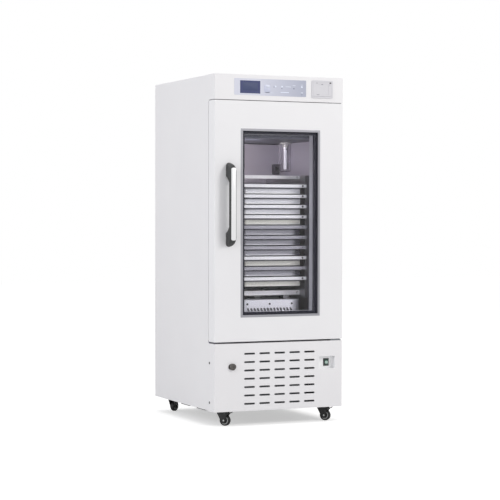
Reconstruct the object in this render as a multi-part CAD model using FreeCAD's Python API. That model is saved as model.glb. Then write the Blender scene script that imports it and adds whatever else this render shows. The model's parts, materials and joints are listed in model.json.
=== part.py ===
import FreeCAD
import Part
import math
import os
from FreeCAD import Vector

# Platelet agitator in a cooled cabinet with a glass door, on four casters.
# Millimetres. +Z is up, -Y is the front, +X is to the right seen from the front.
# The origin is on the floor, under the middle of the whole outline.

# Cabinet
cabinet_width = 640.0
cabinet_depth = 731.0            # door face to rear panel
cabinet_height = 1505.0          # without the casters
sheet = 1.5                      # painted steel sheet
corner_bend = 4.0                # outside radius of the folded edges
base_cover_height = 302.0
head_height = 114.0
seam = 0.3                       # between sheets that can be taken off

# Door
door_thickness = 66.0
door_gap_rear = 3.5              # door back to cabinet flange
door_gap_top = 3.0
door_gap_bottom = 8.0
door_corner = 11.0               # rear corners seen from the side
hinge_inset_x = 12.0
hinge_inset_y = 22.0
hinge_pin = 10.0
hinge_play = 0.05
hinge_depth = 16.0
gasket_width = 20.0
gasket_inset = 28.0
gasket_play = 0.3

# Door window
window_center_x = 5.5
window_width = 395.0             # outside of the trim
window_height = 845.0
window_base = 108.5              # above the lower edge of the door
trim_width = 10.0
trim_proud = 1.5
trim_lip = 2.0
glass_recess = 8.0
glass_sheet = 4.0
glass_space = 16.0
glass_border = 13.0

# Door handle
handle_x = -251.0
handle_width = 25.0
handle_projection = 55.0
handle_length = 375.0
handle_base = 425.0              # above the lower edge of the door
handle_bar = 17.0
handle_post = 62.0
handle_bend = 16.0
strip_length = 327.0
strip_width = 18.0
strip_thickness = 2.0

# Casters
caster_height = 70.0
caster_x = 252.0
caster_front_inset = 61.0        # from the door face
caster_rear_inset = 65.0         # from the rear panel
wheel_radius = 25.0
wheel_width = 20.0
caster_trail = 12.0
caster_plate = 56.0
caster_plate_thickness = 2.5
axle_radius = 4.0
kingpin_radius = 5.0
caster_play = 0.3
fork_sheet = 2.5
front_caster_turn = 39.0         # degrees about the kingpin
rear_caster_turn = 128.0

# Chamber
chamber_half_width = 262.0
chamber_floor = 385.0            # above the cabinet's lower edge
chamber_ceiling = 1225.0
chamber_depth = 506.5            # door flange to duct panel
duct_depth = 95.0                # duct panel to the liner's rear wall
liner_sheet = 1.2

# Agitator base and drive
agitator_half_width = 170.0
agitator_front = 36.5            # cover face behind the door flange
agitator_depth = 400.0
agitator_height = 104.0
agitator_corner = 60.0
agitator_sheet = 1.5
drive_y = -20.0
stroke = 38.0
disc_radius = 30.0
disc_thickness = 8.0
roller_radius = 8.0
roller_height = 11.0
yoke_play = 4.3
shaft_radius = 7.0
guide_radius = 7.0
guide_play = 0.2
guide_front_y = -140.0
guide_rear_y = 100.0
guide_rise = 21.0                # rod axis above the base cover

# Carriage and trays
rack_half_width = 186.0
rack_post = 24.0
rack_sheet = 2.0
rack_front = 40.5                # behind the door flange
rack_depth = 430.0
rack_rise = 5.0                  # above the base cover
rack_height = 566.0
tray_count = 10
tray_pitch = 47.1
tray_top = 1010.7                # middle of the top tray's lip, above the cabinet's lower edge
tray_lip = 14.0
tray_front = 18.5                # lip face behind the door flange
tray_depth = 424.0
tray_play = 3.0                  # each side, to the posts
tray_wall_inset = 17.0
tray_wall_setback = 26.0
tray_drop = 35.0                 # middle of the lip to the tray's underside
tray_sheet = 1.2
ledge_width = 14.0
ledge_sheet = 2.0
slide_play = 0.3

# Values worked out from those above
half_width = cabinet_width / 2
y_front = handle_projection - (cabinet_depth + handle_projection) / 2
y_rear = y_front + cabinet_depth
z_bottom = caster_height
z_top = z_bottom + cabinet_height
z_base = z_bottom + base_cover_height
z_head = z_top - head_height
y_door_back = y_front + door_thickness
y_flange = y_door_back + door_gap_rear
z_door = z_base + door_gap_bottom
z_door_top = z_head - door_gap_top
hinge_x = half_width - hinge_inset_x
hinge_y = y_front + hinge_inset_y
z_floor = z_bottom + chamber_floor
z_ceiling = z_bottom + chamber_ceiling
y_duct = y_flange + chamber_depth
y_liner = y_duct + duct_depth
window_left = window_center_x - window_width / 2
window_right = window_center_x + window_width / 2
window_low = z_door + window_base
window_high = window_low + window_height
y_glass = y_front + glass_recess
y_glass_back = y_glass + 2 * glass_sheet + glass_space
z_agitator = z_floor + agitator_height
y_agitator = y_flange + agitator_front
rack_x = stroke / 2
y_rack = y_flange + rack_front
z_rack = z_agitator + rack_rise
z_rack_top = z_rack + rack_height
z_guide = z_agitator + guide_rise
tray_half = rack_half_width - rack_post - tray_play

X = Vector(1, 0, 0)
Y = Vector(0, 1, 0)
Z = Vector(0, 0, 1)


def block(x0, x1, y0, y1, z0, z1):
    return Part.makeBox(x1 - x0, y1 - y0, z1 - z0, Vector(x0, y0, z0))


def rod(x, y, z, radius, length, direction):
    return Part.makeCylinder(radius, length, Vector(x, y, z), direction)


def join(*solids):
    return solids[0].fuse(list(solids[1:])).removeSplitter()


def edges_along(solid, direction, keep):
    found = []
    for edge in solid.Edges:
        if len(edge.Vertexes) != 2:
            continue
        start = edge.Vertexes[0].Point
        run = edge.Vertexes[1].Point.sub(start)
        if run.Length < 1e-6 or run.cross(direction).Length > 1e-4 * run.Length:
            continue
        if keep(edge.CenterOfMass):
            found.append(edge)
    return found


def round_along(solid, direction, radius, keep=lambda point: True):
    return solid.makeFillet(radius, edges_along(solid, direction, keep))


def turned(solid, x, y, degrees):
    copy = solid.copy()
    copy.rotate(Vector(x, y, 0), Z, degrees)
    return copy


def moved(solid, x, y, z):
    copy = solid.copy()
    copy.translate(Vector(x, y, z))
    return copy


def slot_cutter(x0, x1, z, height, y0, y1):
    """Rounded slot that lies along X and is cut through along Y."""
    radius = height / 2
    middle = block(x0 + radius, x1 - radius, y0, y1, z - radius, z + radius)
    left = rod(x0 + radius, y0, z, radius, y1 - y0, Y)
    right = rod(x1 - radius, y0, z, radius, y1 - y0, Y)
    return join(middle, left, right)


def save(name, *solids):
    shape = solids[0] if len(solids) == 1 else Part.makeCompound(list(solids))
    shape.exportStep("parts/" + name + ".step")


# Cabinet shells

shell_return = 14.0
vent_columns = 5
vent_rows = 7
vent_length = 51.8
vent_height = 6.0
vent_pitch_x = 74.8
vent_pitch_z = 37.5
vent_left = -173.4
vent_low = 30.1                  # lowest row above the cabinet's lower edge
lock_x = -232.5
lock_rise = 198.5
lock_radius = 15.0
lock_proud = 12.0
lock_core_radius = 9.5
lock_play = 0.1
switch_left = 198.7
switch_right = 284.0
switch_low = 173.0
switch_high = 234.0
switch_depth = 28.0
switch_x = 250.0
switch_rise = 202.0
side_screw_radius = 4.0
side_screw_inset = 54.0          # behind the cover's face
side_screws = (37.0, 215.0)


def corner_web(x, z, way):
    """Web with a hollow arc that follows the rear corner of the door."""
    reach = door_corner + door_gap_top
    low = min(z, z + way * reach)
    web = block(x, x + sheet, y_flange - reach, y_flange, low, low + reach)
    return web.cut(rod(x - 1, y_flange - reach, z + way * reach, reach, sheet + 2, X))


def make_outer_shell():
    outer = block(-half_width, half_width, y_flange, y_rear, z_bottom, z_top)
    outer = round_along(outer, Y, corner_bend, lambda p: p.z > z_top - 1)
    inner = block(-half_width + sheet, half_width - sheet, y_flange - 1, y_rear + 1,
                  z_bottom - 1, z_top - sheet)
    inner = round_along(inner, Y, corner_bend - sheet, lambda p: p.z > z_top - sheet - 1)
    shell = outer.cut(inner)
    y_return = y_rear - 2 * sheet
    left = block(-half_width + sheet, -half_width + shell_return, y_return, y_return + sheet,
                 z_bottom, z_top - sheet)
    right = block(half_width - shell_return, half_width - sheet, y_return, y_return + sheet,
                  z_bottom, z_top - sheet)
    return join(shell, left, right)


rear_vent_rows = 8
rear_vent_length = 150.0
rear_vent_height = 7.0
rear_vent_pitch = 20.0
rear_vent_rise = 70.0
inlet_x = -200.0
inlet_rise = 120.0
inlet_width = 60.0
inlet_height = 34.0


def make_rear_panel():
    panel = block(-half_width + sheet + seam, half_width - sheet - seam, y_rear - sheet, y_rear,
                  z_bottom, z_top - sheet - seam)
    panel = round_along(panel, Y, corner_bend, lambda p: p.z > z_top - 5)
    cutters = []
    for row in range(rear_vent_rows):
        z = z_bottom + rear_vent_rise + row * rear_vent_pitch
        for side in (-0.35, 1.0):
            middle = side * rear_vent_length * 0.62
            cutters.append(slot_cutter(middle - rear_vent_length / 2, middle + rear_vent_length / 2,
                                       z, rear_vent_height, y_rear - sheet - 1, y_rear + 1))
    z_inlet = z_bottom + inlet_rise
    cutters.append(block(inlet_x - inlet_width / 2, inlet_x + inlet_width / 2,
                         y_rear - sheet - 1, y_rear + 1,
                         z_inlet - inlet_height / 2, z_inlet + inlet_height / 2))
    return panel.cut(cutters)


def make_power_inlet():
    z_inlet = z_bottom + inlet_rise
    body = block(inlet_x - inlet_width / 2, inlet_x + inlet_width / 2, y_rear - 30, y_rear + 0,
                 z_inlet - inlet_height / 2, z_inlet + inlet_height / 2)
    well = block(inlet_x - 12, inlet_x + 12, y_rear - 18, y_rear + 1, z_inlet - 8.5, z_inlet + 8.5)
    well = round_along(well, Y, 4.0, lambda p: p.z > z_inlet)
    pins = [rod(inlet_x + dx, y_rear - 19, z_inlet + dz, 1.6, 14, Y)
            for dx, dz in ((-7, -1.5), (7, -1.5), (0, 2.5))]
    return body.cut(well).fuse(pins)


def folded_cover(z0, z1):
    """Front sheet with side flanges, its upright corners bent round."""
    outer = block(-half_width, half_width, y_front, y_flange - seam, z0, z1)
    outer = round_along(outer, Z, corner_bend, lambda p: p.y < y_front + 1)
    inner = block(-half_width + sheet, half_width - sheet, y_front + sheet, y_flange + 1, z0 - 1, z1 + 1)
    inner = round_along(inner, Z, corner_bend - sheet, lambda p: p.y < y_front + sheet + 1)
    return outer.cut(inner)


overlay_left = -224.4
overlay_right = 131.2
overlay_low = 22.0               # above the head's lower edge
overlay_high = 96.0
overlay_thickness = 1.0
display_left = -196.6
display_right = -97.5
display_low = 30.0
display_high = 87.0
recorder_left = 162.0
recorder_right = 264.0
recorder_low = 21.0
recorder_high = 97.0
recorder_proud = 4.0
recorder_depth = 60.0
recorder_frame = 5.0
recorder_door_sheet = 3.0
recorder_play = 0.4


def make_control_head():
    cover = folded_cover(z_head, z_top)
    roof = block(-half_width + sheet, half_width - sheet, y_front + sheet, y_flange - seam, z_top - sheet, z_top)
    floor = block(-half_width + sheet, half_width - sheet, y_front + sheet, y_flange - seam,
                  z_head, z_head + sheet)
    webs = [corner_web(-half_width, z_head, -1), corner_web(half_width - sheet, z_head, -1)]
    head = join(cover, roof, floor, *webs)
    head = round_along(head, X, 1.2, lambda p: p.y < y_front + 0.1 and p.z > z_top - 0.1)
    recorder_hole = block(recorder_left, recorder_right, y_front - 1, y_front + sheet + 1,
                          z_head + recorder_low, z_head + recorder_high)
    display_hole = block(display_left, display_right, y_front - 1, y_front + sheet + 1,
                         z_head + display_low, z_head + display_high)
    return head.cut([recorder_hole, display_hole])


def make_control_overlay():
    overlay = block(overlay_left, overlay_right, y_front - overlay_thickness, y_front,
                    z_head + overlay_low, z_head + overlay_high)
    overlay = round_along(overlay, Y, 3.0)
    hole = block(display_left, display_right, y_front - 2, y_front + 1,
                 z_head + display_low, z_head + display_high)
    return overlay.cut(hole)


def make_display_window():
    pane = block(display_left, display_right, y_front - overlay_thickness, y_front + 6,
                 z_head + display_low, z_head + display_high)
    return pane.makeFillet(0.4, [e for e in pane.Edges if e.CenterOfMass.y < y_front - 0.9])


def make_recorder_body():
    z0 = z_head + recorder_low
    z1 = z_head + recorder_high
    rim = block(recorder_left - 2, recorder_right + 2, y_front - recorder_proud, y_front, z0 - 2, z1 + 2)
    rim = round_along(rim, Y, 4.0)
    case = block(recorder_left, recorder_right, y_front, y_front + recorder_depth, z0, z1)
    well = block(recorder_left + recorder_frame, recorder_right - recorder_frame,
                 y_front - recorder_proud - 1, y_front + 30, z0 + recorder_frame, z1 - recorder_frame)
    hub = rod((recorder_left + recorder_right) / 2, y_front + 7.6, (z0 + z1) / 2, 5.0, 22.4, Y)
    chart = rod((recorder_left + recorder_right) / 2, y_front + 8, (z0 + z1) / 2, 31.0, 1, Y)
    return join(rim, case).cut(well).fuse([hub, chart]).removeSplitter()


def make_recorder_door():
    z0 = z_head + recorder_low + recorder_frame + recorder_play
    z1 = z_head + recorder_high - recorder_frame - recorder_play
    x0 = recorder_left + recorder_frame + recorder_play
    x1 = recorder_right - recorder_frame - recorder_play
    y0 = y_front - recorder_proud
    leaf = block(x0, x1, y0, y0 + recorder_door_sheet, z0, z1)
    leaf = round_along(leaf, X, 1.4, lambda p: p.z < z0 + 1)
    window = block(x0 + 8, x1 - 14, y0 - 1, y0 + 1.2, z0 + 8, z1 - 8)
    latch = block(x1 - 9, x1 - 5, y0 - 2, y0, z1 - 16, z1 - 6)
    return leaf.cut(window).fuse(latch).removeSplitter()


def make_base_cover():
    cover = folded_cover(z_bottom - 2.0, z_base)
    top = block(-half_width + sheet, half_width - sheet, y_front + sheet, y_flange - seam, z_base - sheet, z_base)
    webs = [corner_web(-half_width, z_base, 1), corner_web(half_width - sheet, z_base, 1)]
    cover = join(cover, top, *webs)
    cutters = []
    for row in range(vent_rows):
        z = z_bottom + vent_low + row * vent_pitch_z
        for column in range(vent_columns):
            x0 = vent_left + column * vent_pitch_x
            cutters.append(slot_cutter(x0, x0 + vent_length, z, vent_height,
                                       y_front - 1, y_front + sheet + 1))
    cutters.append(rod(lock_x, y_front - 1, z_bottom + lock_rise, lock_radius - 3, sheet + 2, Y))
    cutters.append(block(switch_left, switch_right, y_front - 1, y_front + sheet + 1,
                         z_bottom + switch_low, z_bottom + switch_high))
    for rise in side_screws:
        cutters.append(rod(-half_width - 1, y_front + side_screw_inset, z_bottom + rise,
                           2.2, cabinet_width + 2, X))
    return cover.cut(cutters)


def make_cover_screws():
    screws = []
    for rise in side_screws:
        z = z_bottom + rise
        y = y_front + side_screw_inset
        for way in (-1, 1):
            head = Part.makeCone(side_screw_radius, side_screw_radius - 1.2, 1.6,
                                 Vector(way * half_width, y, z), Vector(way, 0, 0))
            shank = rod(way * (half_width - 9), y, z, 2.2, 9, Vector(way, 0, 0))
            screws.append(head.fuse(shank).removeSplitter())
    return screws


def make_lock_ring():
    z = z_bottom + lock_rise
    ring = rod(lock_x, y_front - lock_proud + 3, z, lock_radius, lock_proud - 3, Y)
    ring = ring.fuse(Part.makeCone(lock_radius - 3.5, lock_radius, 3, Vector(lock_x, y_front - lock_proud, z), Y))
    ring = ring.fuse(rod(lock_x, y_front, z, lock_radius - 3, 20, Y)).removeSplitter()
    bore = rod(lock_x, y_front - lock_proud - 1, z, lock_core_radius + lock_play, lock_proud + 15, Y)
    return ring.cut(bore)


def make_lock_core():
    z = z_bottom + lock_rise
    core = rod(lock_x, y_front - lock_proud + 1.5, z, lock_core_radius, lock_proud + 12, Y)
    slot = block(lock_x - 1.1, lock_x + 1.1, y_front - lock_proud, y_front - 2, z - 4.5, z + 4.5)
    return core.cut(slot)


def make_switch_cup():
    z0 = z_bottom + switch_low
    z1 = z_bottom + switch_high
    outer = block(switch_left, switch_right, y_front, y_front + switch_depth + sheet, z0, z1)
    inner = block(switch_left + sheet, switch_right - sheet, y_front - 1, y_front + switch_depth,
                  z0 + sheet, z1 - sheet)
    inner = round_along(inner, Y, 3.0)
    z = z_bottom + switch_rise
    hole = block(switch_x - bezel_width / 2 + 2, switch_x + bezel_width / 2 - 2, y_front, y_front + 60,
                 z - bezel_height / 2 + 2, z + bezel_height / 2 - 2)
    return outer.cut([inner, hole])


bezel_width = 27.0
bezel_height = 34.0
bezel_proud = 3.0
rocker_width = 18.0
rocker_radius = 12.5
rocker_play = 0.3
rocker_angle = 8.0


def make_switch_bezel():
    z = z_bottom + switch_rise
    y = y_front + switch_depth
    bezel = block(switch_x - bezel_width / 2, switch_x + bezel_width / 2, y - bezel_proud, y,
                  z - bezel_height / 2, z + bezel_height / 2)
    bezel = bezel.makeFillet(1.0, [e for e in bezel.Edges if e.CenterOfMass.y < y - bezel_proud + 0.1])
    body = block(switch_x - bezel_width / 2 + 2, switch_x + bezel_width / 2 - 2, y, y + 22,
                 z - bezel_height / 2 + 2, z + bezel_height / 2 - 2)
    well = block(switch_x - rocker_width / 2 - rocker_play, switch_x + rocker_width / 2 + rocker_play,
                 y - bezel_proud - 1, y + 18,
                 z - rocker_radius - rocker_play, z + rocker_radius + rocker_play)
    return join(bezel, body).cut(well)


def make_switch_rocker():
    """Cylinder about the pivot with a shallow V for a face: it tilts in its well."""
    z = z_bottom + switch_rise
    y = y_front + switch_depth
    drum = rod(switch_x - rocker_width / 2, y, z, rocker_radius, rocker_width, X)
    wedge = math.tan(math.radians(rocker_angle))
    far = 3 * rocker_radius
    front = 3.5
    outline = [Vector(0, y - far, z - far), Vector(0, y - front - far * wedge, z - far),
               Vector(0, y - front, z), Vector(0, y - front - far * wedge, z + far),
               Vector(0, y - far, z + far)]
    face = Part.Face(Part.makePolygon(outline + [outline[0]]))
    face.translate(Vector(switch_x - rocker_width, 0, 0))
    rocker = drum.cut(face.extrude(Vector(2 * rocker_width, 0, 0)))
    rocker = rocker.cut(block(switch_x - far, switch_x + far, y + 5, y + far, z - far, z + far))
    return turned_about_x(rocker, y, z, -rocker_angle)


def turned_about_x(solid, y, z, degrees):
    copy = solid.copy()
    copy.rotate(Vector(0, y, z), X, degrees)
    return copy


# Chassis and cooling unit

deck_sheet = 2.0
member_drop = 5.0
member_front_y = (-220.0, -119.0)
member_rear_y = (-29.0, 70.0)
condenser_width = 360.0
condenser_height = 240.0
condenser_depth = 44.0
condenser_setback = 70.0         # behind the base cover's face
condenser_rise = 14.0
condenser_tubes = 6
fan_radius = 95.0
fan_hub = 24.0
fan_blades = 5
fan_depth = 26.0
fan_play = 6.0
fan_shaft = 4.0
fan_shaft_play = 0.1
compressor_x = 110.0
compressor_y = 210.0
compressor_radius = 85.0
compressor_body = 120.0


def caster_places():
    front = y_front + caster_front_inset
    rear = y_rear - caster_rear_inset
    return (("front_left", -caster_x, front, front_caster_turn),
            ("front_right", caster_x, front, front_caster_turn),
            ("rear_left", -caster_x, rear, rear_caster_turn),
            ("rear_right", caster_x, rear, rear_caster_turn))


def make_chassis_base():
    deck = block(-half_width + sheet, half_width - sheet, y_front + sheet, y_rear - 2 * sheet,
                 z_bottom, z_bottom + deck_sheet)
    deck = round_along(deck, Z, corner_bend, lambda p: p.y < y_front + sheet + 1)
    members = []
    for y0, y1 in (member_front_y, member_rear_y):
        channel = block(-half_width + 6, half_width - 6, y0, y1, z_bottom - member_drop, z_bottom)
        channel = round_along(channel, X, 2.0, lambda p: p.z < z_bottom - 1)
        hollow = block(-half_width, half_width, y0 + 3, y1 - 3, z_bottom - member_drop + 3, z_bottom)
        members.append(channel.cut(hollow))
    base = join(deck, *members)
    solids = [base]
    for name, x, y, turn in caster_places():
        half = caster_plate / 2
        plate = block(x - half, x + half, y - half, y + half, z_bottom - caster_plate_thickness, z_bottom)
        plate = round_along(plate, Z, 6.0)
        pin = rod(x, y, z_pin_head, kingpin_radius, z_bottom - z_pin_head, Z)
        head = Part.makeCone(kingpin_radius + 1.5, kingpin_radius + 4, 2.5, Vector(x, y, z_pin_head - 2.5), Z)
        solids.append(join(plate, pin, head))
    return solids


z_crown = z_bottom - caster_plate_thickness - caster_play
crown_height = 9.0
z_pin_head = z_crown - fork_sheet - caster_play


def make_caster_fork(x, y, turn, braked):
    """Pressed crown with two legs down to the axle; it turns about the kingpin."""
    crown_radius = 21.0
    crown = rod(x, y, z_crown - fork_sheet, crown_radius, fork_sheet, Z)
    skirt = rod(x, y, z_crown - crown_height, crown_radius, crown_height, Z)
    skirt = skirt.cut(rod(x, y, z_crown - crown_height - 1, crown_radius - fork_sheet, crown_height + 1, Z))
    leg_x = wheel_width / 2 + 1.0
    axle_y = y - caster_trail
    legs = []
    for way in (-1, 1):
        top = [Vector(0, y - 17, z_crown - fork_sheet), Vector(0, y + 15, z_crown - fork_sheet)]
        low = [Vector(0, axle_y + 9, wheel_radius), Vector(0, axle_y - 9, wheel_radius)]
        bottom = Vector(0, axle_y, wheel_radius - 9)
        path = [Part.LineSegment(top[0], top[1]).toShape(), Part.LineSegment(top[1], low[0]).toShape(),
                Part.Arc(low[0], bottom, low[1]).toShape(), Part.LineSegment(low[1], top[0]).toShape()]
        leg = Part.Face(Part.Wire(path)).extrude(Vector(fork_sheet, 0, 0))
        start = x + leg_x if way > 0 else x - leg_x - fork_sheet
        legs.append(moved(leg, start, 0, 0))
    reach = leg_x + fork_sheet
    axle = rod(x - reach - 2, axle_y, wheel_radius, axle_radius, 2 * reach + 4, X)
    nuts = [rod(x - reach - 4, axle_y, wheel_radius, axle_radius + 2.2, 4, X),
            rod(x + reach, axle_y, wheel_radius, axle_radius + 2.2, 4, X)]
    fork = join(crown, skirt, *legs, axle, *nuts)
    if braked:
        pivot_y = y - pedal_pivot_out
        ears = [rod(x + way * (leg_x + fork_sheet / 2) - fork_sheet / 2, pivot_y, pedal_pivot_z, 6.0,
                    fork_sheet, X) for way in (-1, 1)]
        pin = rod(x - leg_x, pivot_y, pedal_pivot_z, pedal_pin, 2 * leg_x, X)
        fork = join(fork, *ears, pin)
    bore = rod(x, y, z_crown - fork_sheet - 1, kingpin_radius + hinge_play, fork_sheet + 2, Z)
    return turned(fork.cut(bore), x, y, turn)


def make_caster_wheel(x, y, turn):
    half = wheel_width / 2
    axle_y = y - caster_trail
    outline = [Vector(axle_radius + hinge_play, 0, -half), Vector(8.0, 0, -half), Vector(10.0, 0, 2 - half),
               Vector(16.0, 0, 2 - half), Vector(18.5, 0, -half + 0.5), Vector(21.5, 0, -half + 0.5),
               Vector(wheel_radius, 0, 4 - half), Vector(wheel_radius, 0, half - 4),
               Vector(21.5, 0, half - 0.5), Vector(18.5, 0, half - 0.5), Vector(16.0, 0, half - 2),
               Vector(10.0, 0, half - 2), Vector(8.0, 0, half), Vector(axle_radius + hinge_play, 0, half)]
    face = Part.Face(Part.makePolygon(outline + [outline[0]]))
    wheel = face.revolve(Vector(0, 0, 0), Z, 360)
    wheel.rotate(Vector(0, 0, 0), Y, 90)
    return turned(moved(wheel, x, axle_y, wheel_radius), x, y, turn)


pedal_pivot_out = 24.0           # pivot before the kingpin, along the roll
pedal_pivot_z = 54.5
pedal_reach = 44.0
pedal_width = 17.0
pedal_pin = 2.0


def make_caster_pedal(x, y, turn):
    """Foot lever of the brake: a sleeve on its pin and a bent tread."""
    y0 = y - pedal_pivot_out
    half = pedal_width / 2
    sleeve = rod(x - half, y0, pedal_pivot_z, 4.5, pedal_width, X)
    points = [Vector(0, y0 + 2, pedal_pivot_z + 1.5), Vector(0, y - pedal_reach + 10, pedal_pivot_z + 4.0),
              Vector(0, y - pedal_reach, pedal_pivot_z + 9.0), Vector(0, y - pedal_reach - 2, pedal_pivot_z + 7.0),
              Vector(0, y - pedal_reach + 9, pedal_pivot_z + 1.0), Vector(0, y0 + 2, pedal_pivot_z - 2.0)]
    tread = Part.Face(Part.makePolygon(points + [points[0]])).extrude(Vector(pedal_width + 4, 0, 0))
    tread = moved(tread, x - half - 2, 0, 0)
    lever = join(sleeve, tread.cut(block(x - 30, x + 30, y0 - 6, y0 + 10, 0, 80)),
                 tread.common(block(x - half, x + half, y0 - 6.5, y0 + 10, 0, 80)))
    lever = lever.cut(rod(x - 20, y0, pedal_pivot_z, pedal_pin + hinge_play, 40, X))
    return turned(lever, x, y, turn)


def make_compressor():
    """Welded hermetic can on a plate with four rubber feet."""
    low = z_bottom + deck_sheet
    outline = [Vector(0, 0, 18), Vector(compressor_radius - 18, 0, 18), Vector(compressor_radius, 0, 40),
               Vector(compressor_radius, 0, 78), Vector(compressor_radius + 4, 0, 78),
               Vector(compressor_radius + 4, 0, 84), Vector(compressor_radius, 0, 84),
               Vector(compressor_radius - 4, 0, compressor_body), Vector(compressor_radius - 34, 0,
               compressor_body + 26), Vector(0, 0, compressor_body + 36)]
    can = Part.Face(Part.makePolygon(outline + [outline[0]])).revolve(Vector(0, 0, 0), Z, 360)
    can = moved(can, compressor_x, compressor_y, low)
    half = compressor_radius + 12
    plate = block(compressor_x - half, compressor_x + half, compressor_y - 70, compressor_y + 70, low + 16, low + 19)
    plate = round_along(plate, Z, 14.0)
    feet = [rod(compressor_x + sx * (half - 16), compressor_y + sy * 54, low, 11.0, 16, Z)
            for sx in (-1, 1) for sy in (-1, 1)]
    tube = rod(compressor_x - compressor_radius + 4, compressor_y, low + 60, 5.0, 40, Vector(-1, 0, 0))
    start = Part.makeCylinder(5.0, 60, Vector(compressor_x - compressor_radius - 36, compressor_y, low + 60), Z)
    box = block(compressor_x - 30, compressor_x + 30, compressor_y - compressor_radius - 26,
                compressor_y - compressor_radius + 6, low + 52, low + 110)
    return join(can, plate, *feet, tube, start, box)


def fan_rotor(x, y, z, radius, hub, depth, blades, bore):
    """Hub with pitched blades, turning about an axis along Y."""
    rotor = rod(x, y, z, hub, depth, Y)
    for index in range(blades):
        blade = block(hub - 3, radius, -1.0, 1.0, -0.30 * radius, 0.30 * radius)
        blade = round_along(blade, Y, 0.18 * radius, lambda p: p.x > radius - 1)
        blade.rotate(Vector(0, 0, 0), X, 24)
        blade.rotate(Vector(0, 0, 0), Y, index * 360.0 / blades)
        rotor = rotor.fuse(moved(blade, x, y + depth / 2, z))
    return rotor.removeSplitter().cut(rod(x, y + 3, z, bore, depth, Y))


def make_condenser():
    """Finned coil with its fan shroud and the fan motor on a bridge."""
    y0 = y_front + condenser_setback
    z0 = z_bottom + deck_sheet
    z_low = z0 + condenser_rise
    half = condenser_width / 2
    frame = block(-half, half, y0, y0 + condenser_depth, z0, z_low + condenser_height)
    frame = frame.cut(block(-half + 6, half - 6, y0 - 1, y0 + condenser_depth + 1, z0 - 1, z_low - 4))
    hollow = block(-half + 12, half - 12, y0 + 34, y0 + condenser_depth + 1, z_low + 10,
                   z_low + condenser_height - 10)
    grooves = []
    pitch = (condenser_height - 20) / (2 * condenser_tubes + 1)
    for index in range(condenser_tubes):
        z = z_low + 10 + (2 * index + 1) * pitch
        grooves.append(block(-half + 12, half - 12, y0 - 1, y0 + 6, z, z + pitch))
    coil = frame.cut([hollow] + grooves)
    z_fan = z_low + condenser_height / 2
    y1 = y0 + condenser_depth
    shroud = block(-half, half, y1, y1 + 2, z_low, z_low + condenser_height)
    ring = rod(0, y1, z_fan, fan_radius + 9, 30, Y)
    opening = rod(0, y1 - 1, z_fan, fan_radius + fan_play, 40, Y)
    shroud = join(shroud, ring).cut(opening)
    motor = rod(0, y1 + 40, z_fan, 32.0, 50, Y)
    shaft = rod(0, y1 + 14, z_fan, fan_shaft, 27, Y)
    bridge = block(-fan_radius - 30, fan_radius + 30, y1 + 52, y1 + 55, z_fan - 14, z_fan + 14)
    legs = [block(way * (fan_radius + 26) - 8, way * (fan_radius + 26) + 8, y1 + 2, y1 + 52,
                  z_fan - 14, z_fan + 14) for way in (-1, 1)]
    return join(coil, shroud, motor, shaft, bridge, *legs)


def condenser_fan_place():
    z_fan = z_bottom + deck_sheet + condenser_rise + condenser_height / 2
    return 0.0, y_front + condenser_setback + condenser_depth + 2, z_fan


def make_condenser_fan():
    x, y, z = condenser_fan_place()
    return fan_rotor(x, y, z, fan_radius, fan_hub, fan_depth, fan_blades, fan_shaft + fan_shaft_play)


# Chamber

liner_corner = 4.0
foam_top = 60.0
duct_fan_z = 760.0               # above the cabinet's lower edge
duct_fan_radius = 70.0
duct_slots = 9
duct_slot_pitch = 14.0
lamp_x = 232.0
lamp_y = 93.0
lamp_radius = 28.0
lamp_wall = 2.0
lamp_length = 139.0
tube_radius = 9.0
socket_left = 230.0
socket_width = 30.0
socket_low = 1077.0
socket_high = 1126.0


def make_inner_liner():
    """Welded box with a wide front flange that the door seals against."""
    flange = block(-half_width + sheet, half_width - sheet, y_flange, y_flange + liner_sheet,
                   z_base, z_head)
    outer = block(-chamber_half_width - liner_sheet, chamber_half_width + liner_sheet, y_flange,
                  y_liner + liner_sheet, z_floor - liner_sheet, z_ceiling + liner_sheet)
    outer = round_along(outer, Y, liner_corner + liner_sheet)
    inner = block(-chamber_half_width, chamber_half_width, y_flange - 1, y_liner, z_floor, z_ceiling)
    inner = round_along(inner, Y, liner_corner)
    return flange.fuse(outer).cut(inner).removeSplitter()


def make_insulation():
    """Foam between the liner and the outer shell."""
    wall = half_width - sheet - seam
    foam = block(-wall, wall, y_flange + liner_sheet, y_rear - 2 * sheet - seam, z_base, z_ceiling + foam_top)
    hollow = block(-chamber_half_width - liner_sheet, chamber_half_width + liner_sheet, y_flange - 1,
                   y_liner + liner_sheet, z_floor - liner_sheet, z_ceiling + liner_sheet)
    return foam.cut(round_along(hollow, Y, liner_corner + liner_sheet))


def make_duct_panel():
    """Back wall of the chamber, folded at its side edges, with the fan's grille."""
    z_fan = z_bottom + duct_fan_z
    wall = block(-chamber_half_width, chamber_half_width, y_duct, y_duct + liner_sheet,
                 z_floor + liner_corner, z_ceiling - liner_corner)
    fold = [block(way * chamber_half_width - (liner_sheet if way > 0 else 0),
                  way * chamber_half_width + (0 if way > 0 else liner_sheet),
                  y_duct, y_duct + 14, z_floor + liner_corner, z_ceiling - liner_corner) for way in (-1, 1)]
    cutters = []
    for index in range(duct_slots):
        offset = (index - (duct_slots - 1) / 2) * duct_slot_pitch
        reach = math.sqrt(max(duct_fan_radius ** 2 - offset ** 2, 400.0))
        cutters.append(block(-reach, reach, y_duct - 1, y_duct + liner_sheet + 1,
                             z_fan + offset - 3, z_fan + offset + 3))
    for index in range(duct_slots):
        x = (index - (duct_slots - 1) / 2) * 44.0
        cutters.append(block(x - 14, x + 14, y_duct - 1, y_duct + liner_sheet + 1, z_floor + 24, z_floor + 32))
    return join(wall, *fold).cut(cutters)


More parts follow.
